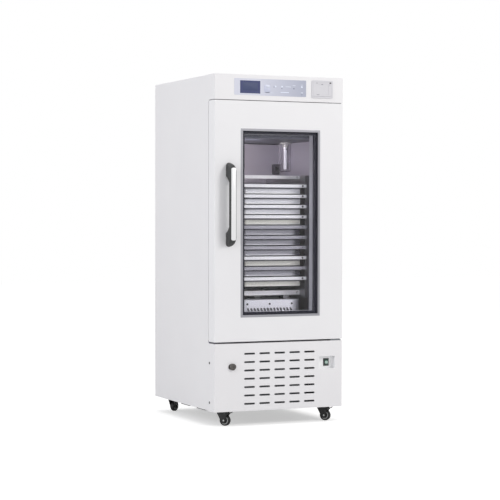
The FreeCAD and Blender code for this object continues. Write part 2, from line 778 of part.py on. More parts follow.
coil_half_width = 200.0
coil_gap = 10.0
coil_depth = 50.0
evaporator_fan_radius = 62.0


def make_evaporator_coil():
    """Two finned blocks, above and below the fan, on side plates with the motor's bridge."""
    z_fan = z_bottom + duct_fan_z
    y0 = y_liner - coil_depth - 12
    solids = []
    for z0, z1 in ((z_fan + 100, z_fan + 280), (z_fan - 260, z_fan - 100)):
        fins = block(-coil_half_width, coil_half_width, y0, y0 + coil_depth, z0, z1)
        grooves = []
        count = 16
        pitch = 2 * coil_half_width / count
        for index in range(count):
            x = -coil_half_width + (index + 0.5) * pitch
            grooves.append(block(x - 4, x + 4, y0 - 1, y0 + 8, z0 - 1, z1 + 1))
        solids.append(fins.cut(grooves))
    side = [block(way * (coil_half_width + 1.5) - 1.5, way * (coil_half_width + 1.5) + 1.5, y0, y_liner,
                  z_fan - 270, z_fan + 290) for way in (-1, 1)]
    bridge = block(-coil_half_width, coil_half_width, y_liner - 6, y_liner - 3, z_fan - 20, z_fan + 20)
    motor = rod(0, y_liner - 44, z_fan, 26.0, 39, Y)
    shaft = rod(0, y_liner - 66, z_fan, fan_shaft, 23, Y)
    return join(*solids, *side, bridge, motor, shaft)


def evaporator_fan_place():
    return 0.0, y_liner - 76, z_bottom + duct_fan_z


def make_evaporator_fan():
    x, y, z = evaporator_fan_place()
    return fan_rotor(x, y, z, evaporator_fan_radius, fan_hub - 4, fan_depth, fan_blades,
                     fan_shaft + fan_shaft_play)


def make_chamber_lamp():
    """Holder under the ceiling with the tube, inside a clear guard closed below."""
    z_low = z_ceiling - lamp_length
    holder = rod(lamp_x, lamp_y, z_ceiling - 14, lamp_radius - lamp_wall, 14, Z)
    tube = rod(lamp_x, lamp_y, z_low + 10, tube_radius, lamp_length - 20, Z)
    tube = tube.makeFillet(6.0, [e for e in tube.Edges if e.CenterOfMass.z < z_low + 11])
    lamp = join(holder, tube)
    guard = rod(lamp_x, lamp_y, z_low, lamp_radius, lamp_length - lamp_wall, Z)
    guard = guard.makeFillet(8.0, [e for e in guard.Edges if e.CenterOfMass.z < z_low + 1])
    hollow = rod(lamp_x, lamp_y, z_low + lamp_wall, lamp_radius - lamp_wall, lamp_length, Z)
    hollow = hollow.makeFillet(6.0, [e for e in hollow.Edges if e.CenterOfMass.z < z_low + lamp_wall + 1])
    guard = guard.cut(hollow)
    return [lamp, guard]


def make_inner_socket():
    x1 = socket_left + socket_width
    body = block(socket_left, x1, y_duct - 22, y_duct, z_bottom + socket_low, z_bottom + socket_high)
    body = round_along(body, Y, 4.0)
    z = z_bottom + (socket_low + socket_high) / 2
    well = rod((socket_left + x1) / 2, y_duct - 23, z, 10.0, 14, Y)
    pins = [rod((socket_left + x1) / 2 + dx, y_duct - 18, z, 2.0, 10, Y) for dx in (-4.5, 4.5)]
    return body.cut(well).fuse(pins)


# Agitator base and its drive

cover_slots = 14
cover_slot_left = -113.0
cover_slot_pitch = 16.5
cover_slot_width = 5.0
cover_slot_length = 28.0
cover_slot_tilt = 26.0
cover_slot_rise = 54.0           # middle of the slots above the chamber floor
cover_screw_x = 112.0
cover_screw_rise = 86.0
block_x = 120.0
block_length = 30.0
block_width = 34.0
drive_window = 38.0


def make_agitator_cover():
    """Drawn cover with rounded upright corners, slanted vents and cut-outs on top."""
    half = agitator_half_width
    outer = block(-half, half, y_agitator, y_agitator + agitator_depth, z_floor + seam, z_agitator)
    outer = round_along(outer, Z, agitator_corner)
    inner = block(-half + agitator_sheet, half - agitator_sheet, y_agitator + agitator_sheet,
                  y_agitator + agitator_depth - agitator_sheet, z_floor - 1, z_agitator - agitator_sheet)
    inner = round_along(inner, Z, agitator_corner - agitator_sheet)
    cutters = [inner, rod(0, drive_y, z_agitator - 5, drive_window, 10, Z)]
    for y in (guide_front_y, guide_rear_y):
        for way in (-1, 1):
            cutters.append(block(way * block_x - block_length / 2 - 1, way * block_x + block_length / 2 + 1,
                                 y - block_width / 2 - 1, y + block_width / 2 + 1, z_agitator - 5, z_agitator + 5))
    for index in range(cover_slots):
        slot = block(-cover_slot_width / 2, cover_slot_width / 2, y_agitator - 1, y_agitator + 4,
                     -cover_slot_length / 2, cover_slot_length / 2)
        slot.rotate(Vector(0, 0, 0), Y, -cover_slot_tilt)
        cutters.append(moved(slot, cover_slot_left + (index + 0.5) * cover_slot_pitch, 0,
                             z_floor + cover_slot_rise))
    screws = [rod(x, y_agitator - 2, z_floor + cover_screw_rise, 3.5, 4, Y)
              for x in (-cover_screw_x, 0, cover_screw_x)]
    return outer.cut(cutters).fuse(screws).removeSplitter()


def make_agitator_base():
    """Floor pan, posts and bearer plate, with four bushed blocks for the guide rods."""
    half = agitator_half_width - 12
    y0 = y_agitator + 30
    y1 = y_agitator + agitator_depth - 30
    z_plate = z_agitator - agitator_sheet - 4.0
    pan = block(-half, half, y0, y1, z_floor, z_floor + 4)
    plate = block(-half, half, y0, y1, z_plate, z_plate + 4)
    plate = plate.cut(rod(0, drive_y, z_plate - 1, drive_window, 6, Z))
    posts = [rod(sx * (half - 14), y, z_floor + 4, 9.0, z_plate - z_floor - 4, Z)
             for sx in (-1, 1) for y in (y0 + 20, y1 - 20)]
    solids = [join(pan, plate, *posts)]
    for y in (guide_front_y, guide_rear_y):
        for way in (-1, 1):
            x = way * block_x
            body = block(x - block_length / 2, x + block_length / 2, y - block_width / 2, y + block_width / 2,
                         z_plate + 4, z_guide + 14)
            body = round_along(body, X, 8.0, lambda p: p.z > z_guide)
            solids[0] = solids[0].fuse(body)
    bores = [rod(-agitator_half_width, y, z_guide, guide_radius + guide_play, 2 * agitator_half_width, X)
             for y in (guide_front_y, guide_rear_y)]
    return solids[0].removeSplitter().cut(bores)


disc_top = agitator_sheet + 6.0  # below the base cover's top


def make_drive_motor():
    """Gearbox with its motor lying behind it, standing on the base's floor pan."""
    z0 = z_floor + 4
    z1 = z_agitator - disc_top - disc_thickness - 2
    gearbox = block(-38, 38, drive_y - 38, drive_y + 38, z0, z1)
    gearbox = round_along(gearbox, Z, 10.0)
    motor = rod(0, drive_y + 38, (z0 + z1) / 2, 30.0, 110, Y)
    motor = motor.makeFillet(5.0, [e for e in motor.Edges if e.CenterOfMass.y > drive_y + 140])
    ribs = [rod(0, drive_y + 56 + 18 * index, (z0 + z1) / 2, 32.0, 5, Y) for index in range(4)]
    feet = block(-30, 30, drive_y + 60, drive_y + 130, z0, z0 + 14)
    unit = join(gearbox, motor, *ribs, feet)
    return unit.cut(rod(0, drive_y, z1 - 30, shaft_radius + hinge_play, 31, Z))


def make_eccentric_disc():
    """Disc on its shaft; the crank pin stands half a stroke off centre with its roller."""
    z0 = z_agitator - disc_top - disc_thickness
    disc = rod(0, drive_y, z0, disc_radius, disc_thickness, Z)
    disc = disc.makeFillet(1.5, [e for e in disc.Edges if e.Length > 6 * disc_radius])
    shaft = rod(0, drive_y, z0 - 28, shaft_radius, 28, Z)
    pin = rod(stroke / 2, drive_y, z0 + disc_thickness, 4.0, disc_top + 2, Z)
    roller = rod(stroke / 2, drive_y, z_agitator + 2, roller_radius, roller_height, Z)
    return join(disc, shaft, pin, roller)


# Carriage

def tray_middle(index):
    return z_bottom + tray_top - index * tray_pitch


def make_carriage():
    """Two folded side frames with runner ledges, tied by a top plate and cross pieces."""
    y0 = y_rack
    y1 = y_rack + rack_depth
    inner = rack_half_width - rack_post
    pieces = []
    for way in (-1, 1):
        x_web = rack_x + way * inner
        x_out = rack_x + way * rack_half_width
        pieces.append(block(min(x_web, x_web + way * rack_sheet), max(x_web, x_web + way * rack_sheet),
                            y0, y1, z_rack, z_rack_top))
        for y in (y0, y1 - rack_sheet):
            pieces.append(block(min(x_web, x_out), max(x_web, x_out), y, y + rack_sheet, z_rack, z_rack_top))
        pieces.append(block(min(x_out - way * rack_sheet, x_out), max(x_out - way * rack_sheet, x_out),
                            y0, y0 + 14, z_rack, z_rack_top))
        for index in range(tray_count):
            top = tray_middle(index) + tray_lip / 2 - tray_sheet - slide_play
            pieces.append(block(min(x_web, x_web - way * ledge_width), max(x_web, x_web - way * ledge_width),
                                y0 + 6, y1 - 6, top - ledge_sheet, top))
    pieces.append(block(rack_x - inner, rack_x + inner, y0 + 56, y1 - 30, z_rack_top - rack_sheet, z_rack_top))
    pieces.append(block(rack_x - inner, rack_x + inner, y0 + 56, y0 + 56 + rack_sheet,
                        z_rack_top - 15, z_rack_top))
    z_cross = z_rack + 14
    pieces.append(block(rack_x - inner, rack_x + inner, y0 + 56, y0 + 56 + rack_sheet, z_cross, z_cross + 21))
    pieces.append(block(rack_x - inner, rack_x + inner, y1 - 30, y1 - 30 + rack_sheet, z_rack, z_cross + 21))
    frame = join(*pieces)
    rods = [rod(rack_x - inner, y, z_guide, guide_radius, 2 * inner, X) for y in (guide_front_y, guide_rear_y)]
    z_yoke = z_agitator + 3.5
    half_slot = roller_radius + yoke_play
    long_slot = stroke / 2 + roller_radius + yoke_play
    yoke = block(rack_x - half_slot - 12, rack_x + half_slot + 12, drive_y - long_slot - 12,
                 drive_y + long_slot + 12, z_yoke, z_yoke + 12)
    yoke = round_along(yoke, Z, 10.0)
    slot = block(rack_x - half_slot, rack_x + half_slot, drive_y - long_slot, drive_y + long_slot,
                 z_yoke - 1, z_yoke + 11)
    slot = round_along(slot, Z, half_slot - 0.5)
    strip = block(rack_x - inner, rack_x + inner, drive_y - 44, drive_y + 44, z_yoke + 12, z_yoke + 15)
    strip = strip.cut(rod(rack_x, drive_y, z_yoke + 11, 10.0, 5, Z))
    carriage = join(frame, *rods, yoke, strip).cut(slot)
    screws = [rod(rack_x + way * (inner - 12), y0 + 54, z, 3.0, 3, Y)
              for way in (-1, 1) for z in (z_rack_top - 7.5, z_cross + 10.5)]
    return carriage.fuse(screws).removeSplitter()


def make_tray(index):
    """Deep tray hung by its side rims, with a folded front lip and a slotted floor."""
    z = tray_middle(index)
    top = z + tray_lip / 2
    y0 = y_flange + tray_front
    y1 = y0 + tray_depth
    wall = tray_half - tray_wall_inset
    rim = block(rack_x - tray_half, rack_x + tray_half, y0, y1, top - tray_sheet, top)
    lip = block(rack_x - tray_half, rack_x + tray_half, y0, y0 + tray_sheet, z - tray_lip / 2, top)
    y_wall = y0 + tray_wall_setback
    outer = block(rack_x - wall, rack_x + wall, y_wall, y1 - 12, z - tray_drop, top)
    outer = round_along(outer, Z, 8.0)
    inner = block(rack_x - wall + tray_sheet, rack_x + wall - tray_sheet, y_wall + tray_sheet,
                  y1 - 12 - tray_sheet, z - tray_drop + tray_sheet, top + 1)
    inner = round_along(inner, Z, 8.0 - tray_sheet)
    slots = []
    for column in (-1, 1):
        for row in range(5):
            y = y_wall + 40 + row * 70
            slots.append(block(rack_x + column * 70 - 45, rack_x + column * 70 + 45, y, y + 12,
                               z - tray_drop - 1, z - tray_drop + tray_sheet + 1))
    hole = rod(rack_x + tray_half - 20, y0 - 1, z, 2.5, 4, Y)
    tray = join(rim, lip, outer).cut([inner, hole] + slots)
    return tray


# Door

def window_opening(margin, y0, y1):
    return block(window_left + margin, window_right - margin, y0, y1, window_low + margin, window_high - margin)


def hinge_bores(z0, z1):
    radius = hinge_pin / 2 + hinge_play
    return [rod(hinge_x, hinge_y, z0 - 1, radius, hinge_depth + 2, Z),
            rod(hinge_x, hinge_y, z1 - hinge_depth - 1, radius, hinge_depth + 2, Z)]


def make_door_shell():
    """Folded steel skin, open behind, with the window cut out."""
    outer = block(-half_width, half_width, y_front, y_door_back, z_door, z_door_top)
    outer = round_along(outer, Z, corner_bend, lambda p: p.y < y_front + 1)
    outer = round_along(outer, X, door_corner, lambda p: p.y > y_door_back - 1)
    inner = block(-half_width + sheet, half_width - sheet, y_front + sheet, y_door_back + 1,
                  z_door + sheet, z_door_top - sheet)
    inner = round_along(inner, Z, corner_bend - sheet, lambda p: p.y < y_front + sheet + 1)
    opening = window_opening(trim_width - trim_lip, y_front - 1, y_front + 10)
    return outer.cut([inner, opening] + hinge_bores(z_door, z_door_top))


def make_door_liner():
    """Foamed core with its inner skin: it fills the shell and frames the glass."""
    outer = block(-half_width + sheet, half_width - sheet, y_front + sheet, y_door_back,
                  z_door + sheet, z_door_top - sheet)
    outer = round_along(outer, Z, corner_bend - sheet, lambda p: p.y < y_front + sheet + 1)
    outer = round_along(outer, X, door_corner - sheet, lambda p: p.y > y_door_back - 1)
    seat = trim_width - trim_lip
    pack = window_opening(seat, y_front, y_glass_back)
    sight = window_opening(trim_width + glass_border, y_front, y_door_back + 1)
    return outer.cut([pack, sight] + hinge_bores(z_door, z_door_top))


def make_window_trim():
    y0 = y_front - trim_proud
    flange = window_opening(0, y0, y_front)
    flange = flange.makeFillet(1.0, [e for e in flange.Edges if e.CenterOfMass.y < y0 + 0.1])
    leg = window_opening(trim_width - trim_lip, y_front, y_glass)
    return join(flange, leg).cut(window_opening(trim_width, y0 - 1, y_glass + 1))


def make_pane(y0):
    return window_opening(trim_width - trim_lip, y0, y0 + glass_sheet)


def make_glass_spacer():
    y0 = y_glass + glass_sheet
    y1 = y0 + glass_space
    outer = window_opening(trim_width - trim_lip, y0, y1)
    return outer.cut(window_opening(trim_width + glass_border, y0 - 1, y1 + 1))


def make_door_gasket():
    """Bellows seal: a foot on the door and a soft lip towards the cabinet."""
    x1 = half_width - gasket_inset
    z0 = z_door + gasket_inset
    z1 = z_door_top - gasket_inset
    y1 = y_flange - gasket_play
    outer = block(-x1, x1, y_door_back, y1, z0, z1)
    outer = round_along(outer, Y, 6.0)
    inner = block(gasket_width - x1, x1 - gasket_width, y_door_back - 1, y1 + 1,
                  z0 + gasket_width, z1 - gasket_width)
    groove_out = block(7 - x1, x1 - 7, y1 - 1.2, y1 + 1, z0 + 7, z1 - 7)
    groove_in = block(13 - x1, x1 - 13, y1 - 2, y1 + 2, z0 + 13, z1 - 13)
    return outer.cut(inner).cut(groove_out.cut(groove_in))


def make_handle_frame():
    """Bent bar: two posts and a grip, with a seat for the front strip."""
    z0 = z_door + handle_base
    z1 = z0 + handle_length
    y0 = y_front - handle_projection
    bend = handle_bend
    slope = 14.0
    outer = [Vector(0, y_front, z0), Vector(0, y0 + bend, z0 + slope), Vector(0, y0, z0 + slope + bend + 12),
             Vector(0, y0, z1 - slope - bend - 12), Vector(0, y0 + bend, z1 - slope), Vector(0, y_front, z1)]
    z_in0 = z0 + handle_post
    z_in1 = z1 - handle_post
    y_in = y0 + handle_bar
    inner = [Vector(0, y_front, z_in1), Vector(0, y_in + bend, z_in1 - 4), Vector(0, y_in, z_in1 - bend - 8),
             Vector(0, y_in, z_in0 + bend + 8), Vector(0, y_in + bend, z_in0 + 4), Vector(0, y_front, z_in0)]
    path = []
    for start, corner, end in ((outer[0], outer[1], outer[2]), (outer[3], outer[4], outer[5]),
                               (inner[0], inner[1], inner[2]), (inner[3], inner[4], inner[5])):
        curve = Part.BezierCurve()
        curve.setPoles([start, corner, end])
        path.append(curve.toShape())
        path.append(None)
    path[1] = Part.LineSegment(outer[2], outer[3]).toShape()
    path[3] = Part.LineSegment(outer[5], inner[0]).toShape()
    path[5] = Part.LineSegment(inner[2], inner[3]).toShape()
    path[7] = Part.LineSegment(inner[5], outer[0]).toShape()
    frame = Part.Face(Part.Wire(path)).extrude(Vector(handle_width, 0, 0))
    frame = moved(frame, handle_x - handle_width / 2, 0, 0)
    frame = frame.makeFillet(2.5, [e for e in frame.Edges if abs(e.CenterOfMass.x - handle_x) > 1
                                   and e.CenterOfMass.y < y_front - 1])
    z_mid = (z0 + z1) / 2
    seat = block(handle_x - strip_width / 2, handle_x + strip_width / 2, y0 - 1, y0 + strip_thickness,
                 z_mid - strip_length / 2, z_mid + strip_length / 2)
    return frame.cut(seat)


def make_handle_strip():
    z_mid = z_door + handle_base + handle_length / 2
    y0 = y_front - handle_projection
    strip = block(handle_x - strip_width / 2, handle_x + strip_width / 2, y0, y0 + strip_thickness,
                  z_mid - strip_length / 2, z_mid + strip_length / 2)
    return strip.makeFillet(0.8, [e for e in strip.Edges if e.CenterOfMass.y < y0 + 0.1])


bracket_reach = 58.0
bracket_front = 14.0             # in front of the pin
bracket_sheet = 2.4
lower_washer = 2.4


def make_hinge_brackets():
    """Plates under the head and on the base cover, each with a pin into the door."""
    solids = []
    x0 = half_width - bracket_reach
    y0 = hinge_y - bracket_front
    top = block(x0, half_width - 2, y0, y_flange - seam, z_head - bracket_sheet, z_head)
    top = round_along(top, Z, 6.0, lambda p: p.y < y0 + 1)
    pin = rod(hinge_x, hinge_y, z_door_top - hinge_depth, hinge_pin / 2,
              hinge_depth + door_gap_top - bracket_sheet, Z)
    solids.append(join(top, pin))
    thick = door_gap_bottom - lower_washer - seam
    low = block(x0, half_width - 2, y0, y_flange - seam, z_base, z_base + thick)
    low = round_along(low, Z, 6.0, lambda p: p.y < y0 + 1)
    washer = rod(hinge_x, hinge_y, z_base + thick, 8.5, lower_washer, Z)
    pin = rod(hinge_x, hinge_y, z_base + thick, hinge_pin / 2, door_gap_bottom - thick + hinge_depth, Z)
    solids.append(join(low, washer, pin))
    return solids


def main():
    os.makedirs("parts", exist_ok=True)
    save("outer_shell", make_outer_shell())
    save("rear_panel", make_rear_panel())
    save("power_inlet", make_power_inlet())
    save("control_head", make_control_head())
    save("control_overlay", make_control_overlay())
    save("display_window", make_display_window())
    save("recorder_body", make_recorder_body())
    save("recorder_door", make_recorder_door())
    save("base_front_cover", make_base_cover())
    save("cover_screws", *make_cover_screws())
    save("lock_ring", make_lock_ring())
    save("lock_core", make_lock_core())
    save("switch_cup", make_switch_cup())
    save("switch_bezel", make_switch_bezel())
    save("switch_rocker", make_switch_rocker())
    save("chassis_base", *make_chassis_base())
    save("compressor", make_compressor())
    save("condenser_coil", make_condenser())
    save("condenser_fan", make_condenser_fan())
    save("inner_liner", make_inner_liner())
    save("insulation_foam", make_insulation())
    save("duct_panel", make_duct_panel())
    save("evaporator_coil", make_evaporator_coil())
    save("evaporator_fan", make_evaporator_fan())
    save("chamber_lamp", *make_chamber_lamp())
    save("inner_socket", make_inner_socket())
    save("agitator_base", make_agitator_base())
    save("agitator_cover", make_agitator_cover())
    save("drive_motor", make_drive_motor())
    save("eccentric_disc", make_eccentric_disc())
    save("carriage_frame", make_carriage())
    for index in range(tray_count):
        save("tray_%02d" % (index + 1), make_tray(index))
    save("door_shell", make_door_shell())
    save("door_liner", make_door_liner())
    save("window_trim", make_window_trim())
    save("glass_panes", make_pane(y_glass), make_pane(y_glass_back - glass_sheet))
    save("glass_spacer", make_glass_spacer())
    save("door_gasket", make_door_gasket())
    save("handle_frame", make_handle_frame())
    save("handle_strip", make_handle_strip())
    save("hinge_brackets", *make_hinge_brackets())
    for name, x, y, turn in caster_places():
        save("caster_fork_" + name, make_caster_fork(x, y, turn, name.startswith("front")))
        save("caster_wheel_" + name, make_caster_wheel(x, y, turn))
        if name.startswith("front"):
            save("caster_pedal_" + name, make_caster_pedal(x, y, turn))


main()
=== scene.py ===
import json
import math

import bmesh
import bpy
from mathutils import Matrix, Vector


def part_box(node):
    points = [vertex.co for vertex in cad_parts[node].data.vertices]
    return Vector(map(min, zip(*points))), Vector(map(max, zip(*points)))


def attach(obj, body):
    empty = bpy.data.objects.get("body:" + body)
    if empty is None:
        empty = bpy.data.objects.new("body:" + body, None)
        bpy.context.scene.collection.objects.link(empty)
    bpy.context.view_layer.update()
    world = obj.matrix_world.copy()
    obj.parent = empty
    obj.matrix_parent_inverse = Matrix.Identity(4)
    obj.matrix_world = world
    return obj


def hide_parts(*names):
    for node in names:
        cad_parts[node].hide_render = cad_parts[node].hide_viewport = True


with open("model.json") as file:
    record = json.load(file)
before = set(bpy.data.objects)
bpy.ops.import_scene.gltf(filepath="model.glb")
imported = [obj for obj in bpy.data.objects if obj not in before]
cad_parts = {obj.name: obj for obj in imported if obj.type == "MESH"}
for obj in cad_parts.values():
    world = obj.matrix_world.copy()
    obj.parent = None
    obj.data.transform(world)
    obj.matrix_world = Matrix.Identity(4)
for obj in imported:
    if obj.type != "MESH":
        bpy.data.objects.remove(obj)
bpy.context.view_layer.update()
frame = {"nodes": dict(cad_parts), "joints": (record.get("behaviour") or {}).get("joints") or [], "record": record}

mm = 0.001
nodes = frame["nodes"]


def corners(node):
    low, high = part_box(node)
    return Vector(low), Vector(high)


# camera, placed by its measured spot and heading
cameraSettings = {
    "place": (-3.1864, -7.0728, 0.9384),  # metres, in the cabinet's own frame
    "yaw": 24.294,                        # degrees to the right of straight ahead
    "pitch": -1.393,
    "roll": 0.091,
    "lens": 118.76,
    "shiftY": 0.01416,
}


def makeCamera():
    data = bpy.data.cameras.new("camera")
    data.lens = cameraSettings["lens"]
    data.sensor_width = 36
    data.shift_y = cameraSettings["shiftY"]
    data.clip_end = 60
    yaw, pitch, roll = (math.radians(cameraSettings[k]) for k in ("yaw", "pitch", "roll"))
    ahead = Vector((math.sin(yaw) * math.cos(pitch), math.cos(yaw) * math.cos(pitch), math.sin(pitch)))
    right = Vector((math.cos(yaw), -math.sin(yaw), 0))
    up = right.cross(ahead)
    turnedRight = right * math.cos(roll) + up * math.sin(roll)
    turnedUp = up * math.cos(roll) - right * math.sin(roll)
    matrix = Matrix((turnedRight, turnedUp, -ahead)).transposed().to_4x4()
    matrix.translation = cameraSettings["place"]
    camera = bpy.data.objects.new("camera", data)
    camera.matrix_world = matrix
    bpy.context.scene.collection.objects.link(camera)
    bpy.context.scene.camera = camera


makeCamera()
print("camera placed")


# materials
# sRGB hex to linear RGBA
def linear(hexColour):
    out = []
    for i in (1, 3, 5):
        c = int(hexColour[i:i + 2], 16) / 255
        out.append(c / 12.92 if c <= 0.04045 else ((c + 0.055) / 1.055) ** 2.4)
    return tuple(out) + (1.0,)


def addNode(tree, kind, settings=None, inputs=None):
    # settings are the node's own values; an input is a value or another node's output socket
    node = tree.nodes.new(kind)
    for name, value in (settings or {}).items():
        setattr(node, name, value)
    for name, value in (inputs or {}).items():
        socket = node.inputs[name]
        if isinstance(value, bpy.types.NodeSocket):
            tree.links.new(value, socket)
        else:
            socket.default_value = value
    return node


def newMaterial(name):
    material = bpy.data.materials.new(name)
    material.use_nodes = True
    tree = material.node_tree
    tree.nodes.clear()
    return material, tree


def finishMaterial(tree, shader):
    addNode(tree, "ShaderNodeOutputMaterial", None, {"Surface": shader.outputs[0]})


def ramp(tree, fac, stops):
    # colour ramp over fac; stops are (position, colour)
    node = addNode(tree, "ShaderNodeValToRGB", None, {"Fac": fac})
    for index, (position, colour) in enumerate(stops):
        stop = node.color_ramp.elements[index] if index < 2 else node.color_ramp.elements.new(position)
        stop.position = position
        stop.color = linear(colour)
    return node.outputs["Color"]


def bandedTint(tree, look, patches):
    # colours that change across the piece's own box, from 0 to 1 along one axis, dimmed a little by the patches
    spot = addNode(tree, "ShaderNodeTexCoord").outputs["Generated"]
    parts = addNode(tree, "ShaderNodeSeparateXYZ", None, {"Vector": spot})
    bands = ramp(tree, parts.outputs[look["bands"]["axis"]], look["bands"]["stops"])
    if "cross" in look:
        side = ramp(tree, parts.outputs[look["cross"]["axis"]], look["cross"]["stops"])
        below = addNode(tree, "ShaderNodeMath", {"operation": "LESS_THAN"},
                        {0: parts.outputs[look["bands"]["axis"]], 1: look["cross"]["below"]})
        shaded = addNode(tree, "ShaderNodeMix", {"data_type": "RGBA", "blend_type": "MULTIPLY"},
                         {0: below.outputs[0], 6: bands, 7: side})
        bands = shaded.outputs[2]
    dim = addNode(tree, "ShaderNodeMapRange", None, {"Value": patches, "To Min": 0.96, "To Max": 1.0})
    return addNode(tree, "ShaderNodeMix", {"data_type": "RGBA", "blend_type": "MULTIPLY"},
                   {0: 1.0, 6: bands, 7: dim.outputs["Result"]})


def texturedSurface(look):
    # look: broad tint patches, a fine grain for gloss and bump, all sized in real millimetres
    material, tree = newMaterial(look["name"])
    place = addNode(tree, "ShaderNodeTexCoord").outputs["Object"]
    stretched = addNode(tree, "ShaderNodeMapping", None,
                        {"Vector": place, "Scale": look.get("stretch", (1, 1, 1))}).outputs["Vector"]
    patches = addNode(tree, "ShaderNodeTexNoise", None,
                      {"Vector": place, "Scale": 1 / (look["patch"] * mm), "Detail": 3.0})
    grain = addNode(tree, "ShaderNodeTexNoise", None,
                    {"Vector": stretched, "Scale": 1 / (look["grain"] * mm), "Detail": 2.0})
    if "bands" in look:
        tint = bandedTint(tree, look, patches.outputs["Fac"])
    else:
        tint = addNode(tree, "ShaderNodeMix", {"data_type": "RGBA"},
                       {0: patches.outputs["Fac"], 6: linear(look["colour"]), 7: linear(look["shade"])})
    gloss = addNode(tree, "ShaderNodeMapRange", None,
                    {"Value": grain.outputs["Fac"], "From Min": 0.25, "From Max": 0.75,
                     "To Min": look["roughness"][0], "To Max": look["roughness"][1]})
    bump = addNode(tree, "ShaderNodeBump", None,
                   {"Height": grain.outputs["Fac"], "Strength": look["bump"], "Distance": look["depth"] * mm})
    inputs = {"Base Color": tint.outputs[2], "Roughness": gloss.outputs["Result"],
              "Normal": bump.outputs["Normal"], "Metallic": look.get("metallic", 0.0)}
    if look.get("metallic", 0.0) < 0.5:
        inputs["IOR"] = look.get("ior", 1.5)
    if "glow" in look:
        inputs["Emission Color"] = linear(look["glow"][0])
        inputs["Emission Strength"] = look["glow"][1]
    if "coat" in look:
        inputs["Coat Weight"] = look["coat"]
        inputs["Coat Roughness"] = 0.08
    finishMaterial(tree, addNode(tree, "ShaderNodeBsdfPrincipled", None, inputs))
    return material


def makePowderCoatedSteel():
    # epoxy powder on steel sheet: satin white, a faint orange peel that breaks up the highlights
    return texturedSurface({"name": "powderCoatedSteel", "colour": "#ECEBED", "shade": "#E6E5E8", "patch": 260,
                            "grain": 1.6, "roughness": (0.34, 0.46), "bump": 0.16, "depth": 0.06})


def makeDoorPowderCoat():
    # the same powder on the door skin, a touch smoother on its large flat face
    return texturedSurface({"name": "doorPowderCoat", "colour": "#EEEEF0", "shade": "#E8E7EA", "patch": 320,
                            "grain": 1.8, "roughness": (0.30, 0.40), "bump": 0.12, "depth": 0.05})


def makePolishedStainless():
    # rolled and polished 304 sheet: blurred mirroring; painted light and shade across its width, a warm light grey
    # that turns to a darker violet grey towards the hinges
    return texturedSurface({"name": "polishedStainless", "patch": 160, "grain": 1.2, "stretch": (1, 1, 0.04),
                            "roughness": (0.30, 0.42), "bump": 0.04, "depth": 0.02, "metallic": 0.15,
                            "bands": {"axis": "X", "stops": [(0, "#D8D0D2"), (1, "#B6B2C0")]}})


def makeFlangeSteel():
    # the liner's front fold: grey painted reflection of the room, dark slate painted shade above the rack
    return texturedSurface({"name": "flangeSteel", "patch": 120, "grain": 1.2, "stretch": (1, 1, 0.04),
                            "roughness": (0.30, 0.42), "bump": 0.04, "depth": 0.02, "metallic": 0.3,
                            "bands": {"axis": "Z", "stops": [(0, "#9090A0"), (0.843, "#9090A0"),
                                                             (0.852, "#5A5C67"), (1, "#5A5C67")]}})


def makeShadedCeilingStainless():
    # painted shade and painted reflection: the same sheet under the ceiling, slate grey for its shadow and for the
    # dark rack it mirrors
    return texturedSurface({"name": "ceilingPaintedShade", "colour": "#50535F", "shade": "#464955", "patch": 120,
                            "grain": 1.2, "stretch": (1, 0.04, 1), "roughness": (0.30, 0.42), "bump": 0.06,
                            "depth": 0.03, "metallic": 0.4})


# a tray's four tones: a painted highlight on the lower edge of the pan, the pan wall, a painted shadow under the
# lip, the lip; the sets differ from tray to tray as painted reflection
trayTones = {
    "bright": ("#FFFFFF", "#F4F4F8", "#4A4A55", "#F8F8FB"),
    "pale": ("#FFFFFA", "#F5F4E9", "#4A4A55", "#F8F8FB"),
    "warm": ("#FBFAF4", "#E8E7DE", "#4A4A55", "#F8F8FB"),
    "greyReflection": ("#F0F0F6", "#B4B3BC", "#5A5964", "#ADACB5"),
}
# where each tone starts and ends, as shares of the tray's height
toneHeights = ((0, 0.07), (0.12, 0.45), (0.55, 0.655), (0.67, 1))


def trayStops(tones):
    stops = []
    for tone, (start, end) in zip(trayTones[tones], toneHeights):
        stops += [(start, tone), (end, tone)]
    return stops


# painted reflection: below the lip, the right end of a grey tray's wall is darkened for the dark side frame it
# mirrors; shares of its size
frameReflectionEnd = {"axis": "X", "below": 0.66, "stops": [(0.80, "#FFFFFF"), (0.87, "#605E69")]}


def makeTraySteel(name, tones, cross=None):
    # bright annealed sheet, finely brushed; its level bands are painted highlight, painted shadow and painted
    # reflection
    look = {"name": name, "bands": {"axis": "Z", "stops": trayStops(tones)}, "patch": 90, "grain": 0.9,
            "stretch": (0.05, 1, 1), "roughness": (0.34, 0.46), "bump": 0.03, "depth": 0.02, "metallic": 0.05}
    if cross:
        look["cross"] = cross
    return texturedSurface(look)


def makeCoverSteel():
    # satin sheet of the agitator's cover
    return texturedSurface({"name": "coverSteel", "colour": "#EEEEF4", "shade": "#E6E6EE", "patch": 90,
                            "grain": 0.9, "stretch": (0.05, 1, 1), "roughness": (0.36, 0.48), "bump": 0.03,
                            "depth": 0.02, "metallic": 0.25})


def makeLitFold():
    # painted light: the carriage's front folds are painted white, brighter than its side frames, as if lit
    return texturedSurface({"name": "litFoldPaintedLight", "colour": "#FFFFFF", "shade": "#F8F7FB", "patch": 90,
                            "grain": 0.9, "stretch": (0.05, 1, 1), "roughness": (0.34, 0.46), "bump": 0.03,
                            "depth": 0.02})


def makeScrewBlackAndShade():
    # oxide-blackened screw heads; where it lines slots, vents and the cover's edges it is painted shade
    if "screwBlackAndHoleShade" in bpy.data.materials:
        return bpy.data.materials["screwBlackAndHoleShade"]
    return texturedSurface({"name": "screwBlackAndHoleShade", "colour": "#34343C", "shade": "#2A2A31", "patch": 8,
                            "grain": 0.6, "roughness": (0.40, 0.55), "bump": 0.08, "depth": 0.02})


